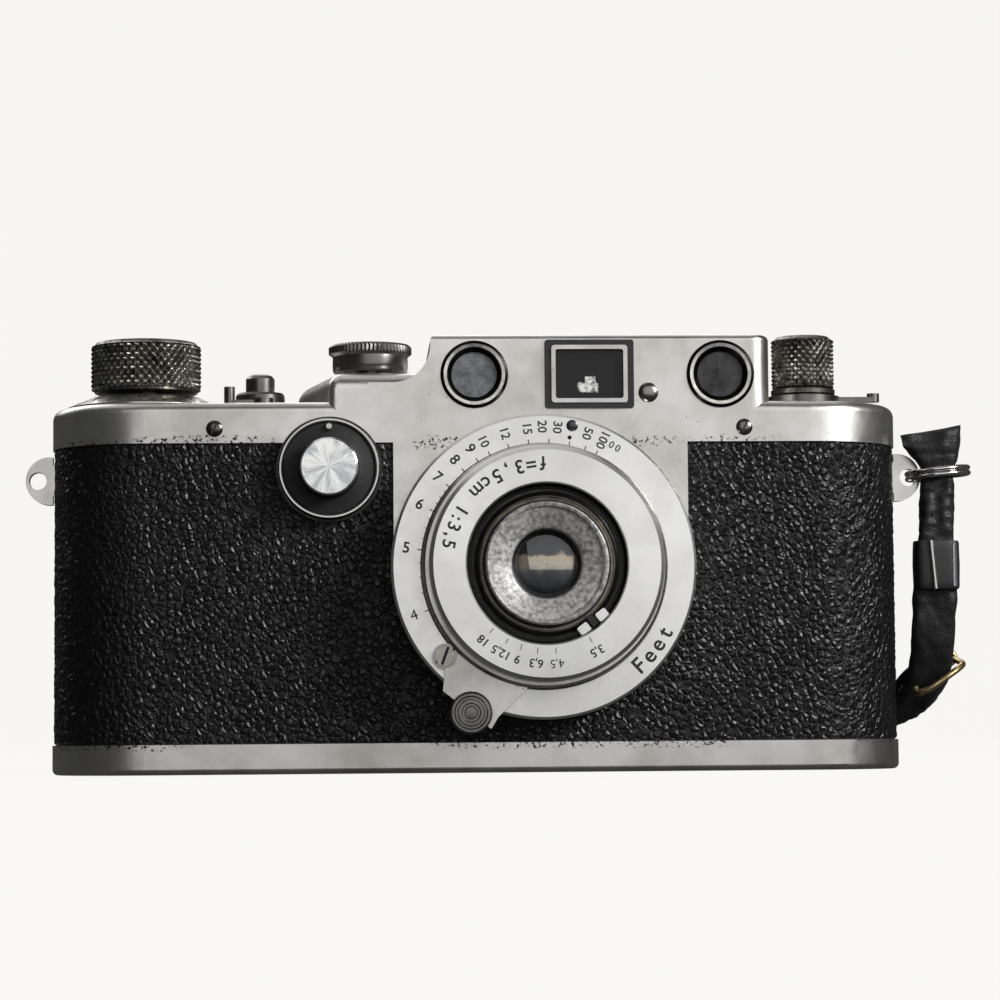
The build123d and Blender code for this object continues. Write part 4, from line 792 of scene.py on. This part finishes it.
def add_slow_dial():
    low, high, _ = node_box("slow_speed_dial")
    centre = Vector(((low.x + high.x) / 2, BODY_FRONT, SLOW_DIAL_Z))
    front = BODY_FRONT - low.y
    rim = SLOW_DIAL_R

    def part(name, outline, material, origin=centre, turns=160):
        return turned(name, outline, origin, "front", turns, "slow_speeds", material)

    outline = mm_from(0, 0, (0, -3.6), (1.2, -3.6), (1.2, 0.45))
    outline += mm_from(rim, 0, (0.25, 0.45), (0.25, 2.5), (0.1, 2.75), (-0.35, 2.75), (-0.5, 2.6))
    ring = part("slow_dial_ring", outline, BLACK)
    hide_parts("slow_speed_dial")
    outline = mm_from(rim, 0, (-0.15, 2.78), (0.08, 2.78), (0.08, 2.6))
    part("slow_dial_edge", outline, SATIN_PLAIN)
    outline = mm_from(rim, 0, (-0.5, 2.6), (-0.6, 2.45)) + mm_from(0, 0, (5.2, 2.7), (4.75, 2.9), (4.62, 3.2))
    outline.append((4.55 * MM, front - 0.5 * MM))
    part("slow_dial_face", outline, DULL_BLACK)
    outline = mm_from(0, front, (4.55, -0.55), (4.5, -0.2), (4.25, -0.02), (0, 0))
    part("slow_dial_cap", outline, spun_metal("spun_disc", centre))
    outline = mm_from(0, 0, (0, 3.35), (0.45, 3.3), (0.6, 3.0), (0.6, 2.3))
    stud = part("slow_dial_stud", outline, STEEL, centre + Vector((0, 0, 6.5 * MM)), 24)


add_slow_dial()

# ---------------------------------------------------------------- lens: rings, marks and cell

RING_FACE = BODY_FRONT - 6.34 * MM
FRONT_FACE = BODY_FRONT - 14.8 * MM
INFINITY_ANGLE = 59.0
DISTANCES = (4, 5, 6, 7, 8, 9, 10, 12, 15, 20, 30, 50, 100)
# Degrees that some numbers stand aside from their marks, to clear the set screw.
NUMBER_NUDGE = {20: 3.2, 30: 6.3, 50: 1.2}
APERTURES = (("3,5", -61.0), ("4,5", -85.0), ("6,3", -97.0), ("9", -108.0), ("12,5", -118.0), ("18", -130.0))
APERTURE_INDEX_ANGLE = radians(-52.3)


def distance_angle(feet):
    """Where a distance stands on the scale: the screw's turn goes with one over the distance."""
    return INFINITY_ANGLE + 566.0 / feet


def add_distance_scale():
    made = bmesh.new()
    for feet in DISTANCES:
        angle = distance_angle(feet)
        aside = angle + NUMBER_NUDGE.get(feet, 0.0)
        height = (1.75 if feet < 10 else 1.45) * MM
        radius = (21.55 if feet < 20 else 21.7) * MM
        letter(str(feet), height, on_face(radius, aside, RING_FACE, aside + 180), made)
        stroke(made, on_face(19.35 * MM, angle, RING_FACE, angle), 0.9 * MM, 0.16 * MM)
    for side in (-0.55, 0.55):
        lobe = on_face(21.7 * MM, INFINITY_ANGLE, RING_FACE, INFINITY_ANGLE + 90)
        letter("0", 1.15 * MM, lobe @ shift(side * MM, 0, 0), made)
    for place, sign in enumerate("Feet"):
        angle = -38.0 + (place - 1.5) * 5.9
        letter(sign, 2.6 * MM, on_face(21.4 * MM, angle, RING_FACE, angle + 90), made)
    for part in range(1, 4):
        for feet in (4, 5, 6):
            angle = distance_angle(feet + part * 0.25)
            stroke(made, on_face(19.25 * MM, angle, RING_FACE, angle), 0.5 * MM, 0.10 * MM)
    engraving("distance_marks", made, "body")


def add_front_ring_marks():
    made = bmesh.new()
    for text, first, step, height in (("f=3,5cm", 92.0, 6.9, 2.2 * MM), ("1:3,5", 148.0, 5.2, 2.1 * MM)):
        for place, sign in enumerate(text):
            angle = first + place * step
            letter(sign, height, on_face(15.4 * MM, angle, FRONT_FACE, angle + 90), made)
    for text, angle in APERTURES:
        letter(text, 1.35 * MM, on_face(15.3 * MM, angle, FRONT_FACE, angle - 90), made)
        stroke(made, on_face(13.4 * MM, angle, FRONT_FACE, angle), 0.9 * MM, 0.12 * MM)
    engraving("front_ring_marks", made, "lens")


def add_lens_cell():
    """What shows inside the front: browned rings in the groove, the aperture's index and the pitted cone."""
    origin = (LENS.x, BODY_FRONT, LENS.z)
    dark = grey(0.010)
    look = ringed("groove_rings", [LENS], (
        (0.0, dark), (9.85 * MM, (0.36, 0.33, 0.28)), (10.45 * MM, dark), (11.15 * MM, (0.26, 0.25, 0.235)),
        (11.4 * MM, dark), (12.3 * MM, dark),
    ), 0.8, 0.32)
    groove = mm_from(0, 0, (12.15, 14.6), (11.9, 13.1), (11.35, 13.05), (11.2, 13.5), (10.75, 13.7), (10.3, 13.45),
                     (10.15, 13.05), (9.8, 13.0), (9.6, 12.9))
    ring = turned("groove_ring", groove, origin, "front", 128, "aperture", look)
    foot = 12.4
    for part, offset, length, height, material in (
        ("left", -1.75, 1.8, 14.45, RING_CHROME), ("middle", 0.0, 1.6, 14.0, DULL_BLACK),
        ("right", 1.75, 1.8, 14.45, RING_CHROME),
    ):
        made = bmesh.new()
        bar = (
            shift(LENS.x, BODY_FRONT - (height + foot) / 2 * MM, LENS.z)
            @ spin(-APERTURE_INDEX_ANGLE, "Y")
            @ shift(11.35 * MM, 0, offset * MM)
            @ Matrix.Diagonal((1.5 * MM, (height - foot) * MM, length * MM, 1.0))
        )
        bmesh.ops.create_cube(made, size=1.0, matrix=bar)
        bmesh.ops.bevel(made, geom=made.edges[:], offset=0.14 * MM, segments=2, affect="EDGES")
        mesh = mesh_of(f"aperture_index_{part}", made)
        piece(f"aperture_index_{part}", mesh, "aperture", material)
    cone = mm_from(0, 0, (9.42, 13.0), (9.42, 14.75), (9.15, 14.95), (8.8, 14.85), (8.5, 14.45), (6.0, 13.75),
                   (5.5, 13.45), (5.3, 12.5))
    cell = turned("front_cone", cone, origin, "front", 128, "lens", CELL_METAL)


def add_infinity_button():
    low, high, centre = node_box("infinity_button")
    radius = (high.x - low.x) / 2
    front = BODY_FRONT - low.y
    outline = mm_from(0, BODY_FRONT - high.y, (0, 0), (1.0, 0)) + [(1.0 * MM, front - 1.5 * MM)]
    edge = len(outline) + 1
    outline += mm_from(radius, front, (-0.2, -1.5), (0, -1.2), (0, -0.4), (-0.35, 0))
    outline += mm_from(0, front, (2.6, 0), (2.4, -0.35), (2.1, -0.35), (1.95, -0.02), (1.5, -0.02), (1.35, -0.4),
                       (1.0, -0.4), (0.85, -0.15), (0, -0.1))

    def shape(angle, r, h, index):
        milled = index in (edge, edge + 1)
        return (r - 0.10 * MM * saw(angle / tau * 40) if milled else r), h

    button = turned("infinity_button_turned", outline, (centre.x, BODY_FRONT, centre.z), "front", 320,
                    "infinity_lock", DARK_CHROME, shape)
    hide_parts("infinity_button")


def add_scale_screw():
    """A small blackened set screw in the scale ring, with a centre mark below it."""
    x, z = on_ring(22.3 * MM, 78.2)
    outline = mm_from(0, 0, (0, 0.32), (0.55, 0.30), (0.82, 0.18), (0.92, 0), (0.92, -0.3))
    screw = turned("scale_screw", outline, (x, RING_FACE, z), "front", 40, "body", BLUED)
    made = bmesh.new()
    for turn in (0, 45, 90, 135):
        stroke(made, on_face(20.4 * MM, 78.3, RING_FACE, turn), 0.62 * MM, 0.26 * MM)
    engraving("scale_screw_mark", made, "body")


def add_stop_screw_slot():
    """The stop screw's slot, cut across its face, and the dark ring round its head."""
    low, high, centre = node_box("stop_screw")
    made = bmesh.new()
    stroke(made, facing_front(centre.x, low.y - 0.01 * MM, centre.z, 70), 2.9 * MM, 0.42 * MM)
    engraving("stop_screw_slot", made, "lens")
    radius = (high.x - low.x) / 2
    face = BODY_FRONT - low.y
    outline = mm_from(radius, face, (-0.22, 0.02), (0.03, -0.12), (0.03, -0.6))
    rim = turned("stop_screw_rim", outline, (centre.x, BODY_FRONT, centre.z), "front", 48, "lens", BLUED)


def add_domed_screws():
    """Small domed heads on the front of the cover, slotted apart from the adjuster's cap."""
    low, high, _ = node_box("cover_screws")
    r = (high.z - low.z) / 2
    front = BODY_FRONT - low.y
    caps = [("left", low.x + r, low.z + r, r, front), ("right", high.x - r, low.z + r, r, front)]
    low, high, _ = node_box("adjuster_cap")
    caps.append(("adjuster", (low.x + high.x) / 2, (low.z + high.z) / 2, (high.x - low.x) / 2, BODY_FRONT - low.y))
    for side, x, z, r, front in caps:
        rise = 0.42 * r
        arc = [radians(90 - 10 * k) for k in range(10)]
        dome = [(r * cos(a), front - rise + rise * sin(a)) for a in arc]
        dome += [(r, front - rise - 0.5 * MM), (0.5 * r, front - rise - 0.55 * MM)]
        name = f"screw_{side}"
        screw = turned(name, dome, (x, BODY_FRONT, z), "front", 48, "body", DULL_STEEL)
        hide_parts("adjuster_cap" if side == "adjuster" else "cover_screws")
        if side != "adjuster":
            made = bmesh.new()
            stroke(made, facing_front(x, BODY_FRONT - front + 0.03 * MM, z, 62), 1.5 * r, 0.22 * r, 0.06 * MM)
            engraving(name + "_slot", made, "body")


add_stop_screw_slot()
add_scale_screw()
add_distance_scale()
add_front_ring_marks()
add_lens_cell()
add_infinity_button()
add_domed_screws()

# ---------------------------------------------------------------- grained covering


def outline_point(along, inset):
    """A point on the body's round-ended outline, by its distance along it from the front's left end."""
    half = BODY_LENGTH / 2 - BODY_DEPTH / 2
    r = BODY_DEPTH / 2 - inset
    straight, bend = 2 * half, pi * r
    along = along % (2 * straight + 2 * bend)
    if along < straight:
        return Vector((-half + along, BODY_MIDDLE - r)), Vector((0, -1))
    along -= straight
    if along < bend:
        turn = -pi / 2 + along / r
        out = Vector((cos(turn), sin(turn)))
        return Vector((half, BODY_MIDDLE)) + out * r, out
    along -= bend
    if along < straight:
        return Vector((half - along, BODY_MIDDLE + r)), Vector((0, 1))
    turn = pi / 2 + (along - straight) / r
    out = Vector((cos(turn), sin(turn)))
    return Vector((-half, BODY_MIDDLE)) + out * r, out


GRAIN_STEP, GRAIN_INSET = 0.32 * MM, 0.30 * MM
GRAIN_RISE, GRAIN_SINK = 0.22 * MM, 0.10 * MM
# noise_vector takes its offsets from a seed, which is the clock unless it is set.
GRAIN_SEED = 11
# Half the width of the cover's apron, and how far the covering reaches under it.
APRON_HALF, APRON_LAP = 23.19 * MM, 1.2 * MM


def under_apron(place):
    """Whether a point on the covering is hidden behind the apron or the lens flange."""
    reach = APRON_HALF - APRON_LAP
    if place.y >= BODY_MIDDLE or abs(place.x - LENS.x) >= reach:
        return False
    return place.z > LENS.z or (place.xz - LENS.xz).length < reach


def add_covering():
    """The covering's pebbles are real: each point of a fine grid is raised inside its cell of the grain."""
    low, high, _ = node_box("body_covering")
    total = 2 * (BODY_LENGTH - BODY_DEPTH) + tau * (BODY_DEPTH / 2 - GRAIN_INSET)
    columns = int(total / GRAIN_STEP)
    rows = int((high.z - low.z) / GRAIN_STEP)
    noise.seed_set(GRAIN_SEED)
    made = bmesh.new()
    grid = []
    for i in range(columns):
        flat, out = outline_point(total * i / columns, GRAIN_INSET)
        column = []
        for j in range(rows + 1):
            spot = Vector((flat.x, flat.y, low.z + (high.z - low.z) * j / rows))
            seed = spot * 900.0 + noise.noise_vector(spot * 500.0) * 0.45
            near = noise.voronoi(seed)[0]
            pebble = min((near[1] - near[0]) * 1.5, 1.0)
            lift = GRAIN_RISE * sqrt(max(pebble, 0.0)) if 0 < j < rows else 0.0
            column.append(made.verts.new(spot + Vector((out.x, out.y, 0)) * (lift - GRAIN_SINK)))
        grid.append(column)
    for here, there in zip(grid, grid[1:] + grid[:1]):
        for j in range(rows):
            if not under_apron((here[j].co + there[j + 1].co) / 2):
                made.faces.new((here[j], there[j], there[j + 1], here[j + 1]))
    loose = [v for v in made.verts if not v.link_faces]
    bmesh.ops.delete(made, geom=loose, context="VERTS")
    skin = piece("covering_grained", mesh_of("covering_grained", made), "body", GRAIN, 180.0)
    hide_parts("body_covering")


add_covering()

# ---------------------------------------------------------------- hand strap

STRAP_ROUTE = [
    Vector(point) * MM
    for point in (
        (75.0, 4.8, 54.5), (74.6, 4.8, 39.5), (73.9, 4.8, 24.5), (73.8, 9.0, 13.0), (68.5, 22.5, 7.0),
        (52.0, 33.5, 4.0), (28.0, 36.0, 3.8), (4.0, 35.0, 3.8), (-9.0, 41.0, 3.8), (-10.0, 52.0, 3.8),
        (2.0, 60.0, 3.8), (26.0, 60.0, 3.8), (48.0, 53.0, 3.8), (63.0, 40.0, 4.5), (71.5, 27.0, 9.5),
        (74.5, 15.0, 16.0),
    )
]
STRAP_STEP = 0.7
# Height on the first stretch, then how far the leather reaches to the left and right, and its thickness.
STRAP_SHAPE = (
    (54.6, 6.2, 3.8, 1.2), (52.5, 5.9, 3.9, 1.5), (49.6, 3.6, 3.2, 1.5), (48.0, 2.6, 2.6, 1.3),
    (45.0, 2.8, 3.0, 1.0), (38.0, 2.8, 2.8, 0.9), (35.0, 3.2, 3.2, 0.8), (29.0, 3.5, 3.7, 0.8),
    (20.0, 3.5, 3.6, 0.8),
)


def route_points(route, spacing):
    """Points, evenly spaced, on the smooth NURBS curve that has the route as its control points."""
    curve = bpy.data.curves.new("route", "CURVE")
    curve.dimensions = "3D"
    curve.resolution_u = 32
    spline = curve.splines.new("NURBS")
    spline.points.add(len(route) - 1)
    for point, place in zip(spline.points, route):
        point.co = (*place, 1.0)
    spline.order_u = 3
    spline.use_endpoint_u = True
    holder = bpy.data.objects.new("route", curve)
    line = bpy.data.meshes.new_from_object(holder)
    points = [vertex.co.copy() for vertex in line.vertices]
    bpy.data.objects.remove(holder)
    bpy.data.curves.remove(curve)
    bpy.data.meshes.remove(line)
    even, left = [points[0]], spacing
    for here, there in zip(points, points[1:]):
        gap = (there - here).length
        while left <= gap:
            even.append(here.lerp(there, left / gap))
            left += spacing
        left -= gap
    return even


def between(value, table):
    """Reads a table of falling heights, with straight steps between its rows."""
    if value >= table[0][0]:
        return table[0][1:]
    for above, below in zip(table, table[1:]):
        if value >= below[0]:
            part = (above[0] - value) / (above[0] - below[0])
            return [a + (b - a) * part for a, b in zip(above[1:], below[1:])]
    return table[-1][1:]


def smooth_step(value):
    value = min(max(value, 0.0), 1.0)
    return value * value * (3 - 2 * value)


def sweep_rings(name, rings):
    """A closed skin over rings of points, with both ends filled."""
    made = bmesh.new()
    rows = [[made.verts.new(point) for point in ring] for ring in rings]
    count = len(rings[0])
    for here, there in zip(rows, rows[1:]):
        for i in range(count):
            j = (i + 1) % count
            made.faces.new((here[i], here[j], there[j], there[i]))
    made.faces.new(rows[0])
    made.faces.new(rows[-1])
    bmesh.ops.recalc_face_normals(made, faces=made.faces)
    return mesh_of(name, made)


def tube(name, points, radius, material, sides=14):
    """A round wire along points, on the body."""
    rings, side = [], Vector((0, 0, 1))
    for index, point in enumerate(points):
        before, after = points[max(index - 1, 0)], points[min(index + 1, len(points) - 1)]
        along = (after - before).normalized()
        side = (side - along * side.dot(along)).normalized()
        other = along.cross(side)
        turns = (tau * k / sides for k in range(sides))
        rings.append([point + (side * cos(t) + other * sin(t)) * radius for t in turns])
    return piece(name, sweep_rings(name, rings), "body", material, 60.0)


def add_strap():
    """A creased leather ribbon: face on below its ring, on its edge behind the camera, face on at its end."""
    points = route_points(STRAP_ROUTE, STRAP_STEP * MM)
    last = len(points) - 1
    across = [-1 + 2 * i / 14 for i in range(15)]
    rings = []
    for index, point in enumerate(points):
        along = (points[min(index + 1, last)] - points[max(index - 1, 0)]).normalized()
        part = index / last
        on_edge = smooth_step((part - 0.20) / 0.12) * (1 - smooth_step((part - 0.84) / 0.12))
        width = Vector((1, 0, 0)).lerp(Vector((0, 0, 1)), on_edge)
        width = (width - along * width.dot(along)).normalized()
        face = along.cross(width)
        first = part < 0.3
        height = point.z / MM
        left, right, half = between(height, STRAP_SHAPE) if first else STRAP_SHAPE[-1][1:]
        bunched = smooth_step((height - 35) / 3) if first else 0.0
        run = index * STRAP_STEP
        ring = []
        for sign in (1, -1):
            for u in across if sign > 0 else reversed(across[1:-1]):
                reach = (right if u > 0 else left) * MM * u
                seed = Vector((run * 0.16, u * 1.3, 3.0))
                fold = noise.noise(seed) * (0.55 + 0.45 * bunched)
                fold += noise.noise(Vector((run * 0.75, u * 2.6, 11.0))) * 0.30
                fold += sin(run * 3.1 + noise.noise(seed * 0.7) * 4) * 0.24 * bunched
                ripple = 1 + 0.07 * noise.noise(Vector((run * 0.35, sign * 5.0, 9.0))) * (1 + bunched)
                edge = sqrt(max(1 - abs(u) ** 5, 0.0))
                slant = (u * 1.0 + 0.1) * MM * smooth_step((height - 49) / 5) if first else 0.0
                spot = point + width * reach * ripple + face * (fold + sign * half * edge) * MM
                ring.append(spot - along * slant)
        rings.append(ring)
    strap = piece("hand_strap_leather", sweep_rings("hand_strap_leather", rings), "body", LEATHER, 70.0)
    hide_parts("hand_strap")
    return strap, points


def add_split_ring():
    low, high, centre = node_box("strap_ring")
    radius, rise, wire = 4.95 * MM, 0.86 * MM, 0.42 * MM
    tilt = Matrix.Rotation(atan(-0.1), 3, "Y")
    steps = 192
    points = []
    for i in range(steps + 1):
        angle = radians(100) + 2 * tau * i / steps
        height = rise * (smooth_step((i / steps - 0.38) / 0.24) - 0.5)
        points.append(centre + tilt @ Vector((radius * cos(angle), radius * sin(angle), height)))
    ring = tube("split_ring", points, wire, POLISHED)
    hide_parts("strap_ring")
    return ring


def add_keeper():
    """A loop that slides along the strap, with a bright pin in front and a lighter grey plate on its right, which is
    a painted highlight on that face.
    """
    low, high, centre = node_box("strap_keeper")
    half = (high - low) / 2 - Vector((0.3, 0.3, 0.0)) * MM

    def outline(grow):
        corners = []
        for k in range(48):
            a = tau * k / 48
            c, s = cos(a), sin(a)
            x = copysign(abs(c) ** 0.45, c) * (half.x + grow)
            y = copysign(abs(s) ** 0.55, s) * (half.y + grow)
            corners.append(Vector((x, y, 0)))
        return corners

    levels = [(-half.z, -0.5), (-half.z, -0.1), (-half.z + 0.25 * MM, 0.0), (-half.z + 1.2 * MM, 0.05),
              (0.0, 0.12), (half.z - 1.2 * MM, 0.05), (half.z - 0.25 * MM, 0.0), (half.z, -0.1), (half.z, -0.5)]
    rings = [[centre + corner + Vector((0, 0, z)) for corner in outline(grow * MM)] for z, grow in levels]
    keeper = piece("keeper_loop", sweep_rings("keeper_loop", rings), "body", KEEPER_BLACK, 40.0)
    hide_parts("strap_keeper")
    front = low.y + 0.15 * MM
    pin = [Vector((73.2 * MM + 0.7 * MM * i / 8, front, centre.z + half.z - 2 * half.z * i / 8)) for i in range(9)]
    bar = tube("keeper_pin", pin, 0.42 * MM, POLISHED)
    # Painted highlight: a lighter grey plate over the right face stands in for the light that face reflects.
    highlight_rings = []
    for z in (-half.z * 0.96, -half.z * 0.9, 0.0, half.z * 0.9, half.z * 0.96):
        tuck = 0.25 * MM if abs(z) > half.z * 0.93 else 0.0
        ring = []
        outside, inside = (1.5 * MM - tuck, half.y + 0.1 * MM - tuck), (1.1 * MM, half.y - 0.5 * MM)
        for (wide, deep), start, way in ((outside, -85, 100), (inside, 15, -100)):
            for k in range(12):
                a = radians(start + way * k / 11)
                ring.append(centre + Vector((cos(a) * wide + half.x - 1.35 * MM, sin(a) * deep, z)))
        highlight_rings.append(ring)
    plate = piece("keeper_painted_highlight", sweep_rings("keeper_painted_highlight", highlight_rings), "body", PAINTED_HIGHLIGHT_GREY, 40.0)
    return [keeper, bar, plate]


def add_hook():
    """A small snap hook: an eye and a swivel behind the strap, and a claw that comes round to its front."""
    low, high, centre = node_box("strap_hook")
    turns = [tau * k / 40 for k in range(41)]
    eye = [centre + Vector((1.9 * cos(t) + 1.2, 1.6, 1.25 * sin(t) + 0.3)) * MM for t in turns]
    loop = tube("hook_eye", eye, 0.42 * MM, BRASS)
    hook = [centre + Vector(point) * MM for point in (
        (1.0, 0.6, 0.4), (2.6, -0.6, 0.0), (3.3, -3.0, -0.6), (2.9, -6.2, -1.0), (1.2, -8.4, -2.0),
        (-1.4, -8.8, -3.8), (-3.8, -8.2, -5.4), (-5.2, -7.2, -5.6), (-5.0, -6.6, -4.4))]
    claw = tube("hook_claw", route_points(hook, 0.35 * MM), 0.52 * MM, BRASS)
    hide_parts("strap_hook")
    knuckle = mm_from(0, 0, (0, -1.0), (0.75, -1.0), (0.95, -0.7), (0.95, -0.3), (0.6, -0.1), (0.6, 0.2), (0.85, 0.4),
                      (0.85, 0.9), (0.5, 1.15), (0, 1.2))
    mesh = lathe("hook_swivel", knuckle, (0, 0, 0), "up", 32)
    mesh.transform(Matrix.Translation(centre + Vector((0.9, 0, 0.7)) * MM) @ spin(radians(-50), "Y"))
    swivel = piece("hook_swivel", mesh, "body", BRASS)
    return [claw, loop, swivel]


def add_cord():
    strap, path = add_strap()
    ring = add_split_ring()
    others = [ring, *add_keeper(), *add_hook()]


add_cord()

# ---------------------------------------------------------------- studio

add_floor()
add_light("front_soft", (0.22, -1.3, 0.45), (0, 0, 0.03), 1.5, 1.1, 4.6)
add_light("right_key", (0.55, -0.42, 0.34), (0.02, 0, 0.03), 0.22, 0.22, 5.0)
add_light("top_soft", (-0.1, 0.15, 1.0), (0, 0, 0.03), 1.2, 0.9, 1.8)
add_light("back_soft", (-0.30, 0.95, 0.95), (0, 0, 0.03), 1.4, 0.7, 6.5)
add_light("left_soft", (-0.8, 1.0, 0.75), (0, 0, 0.03), 0.7, 0.6, 1.4)
add_world()
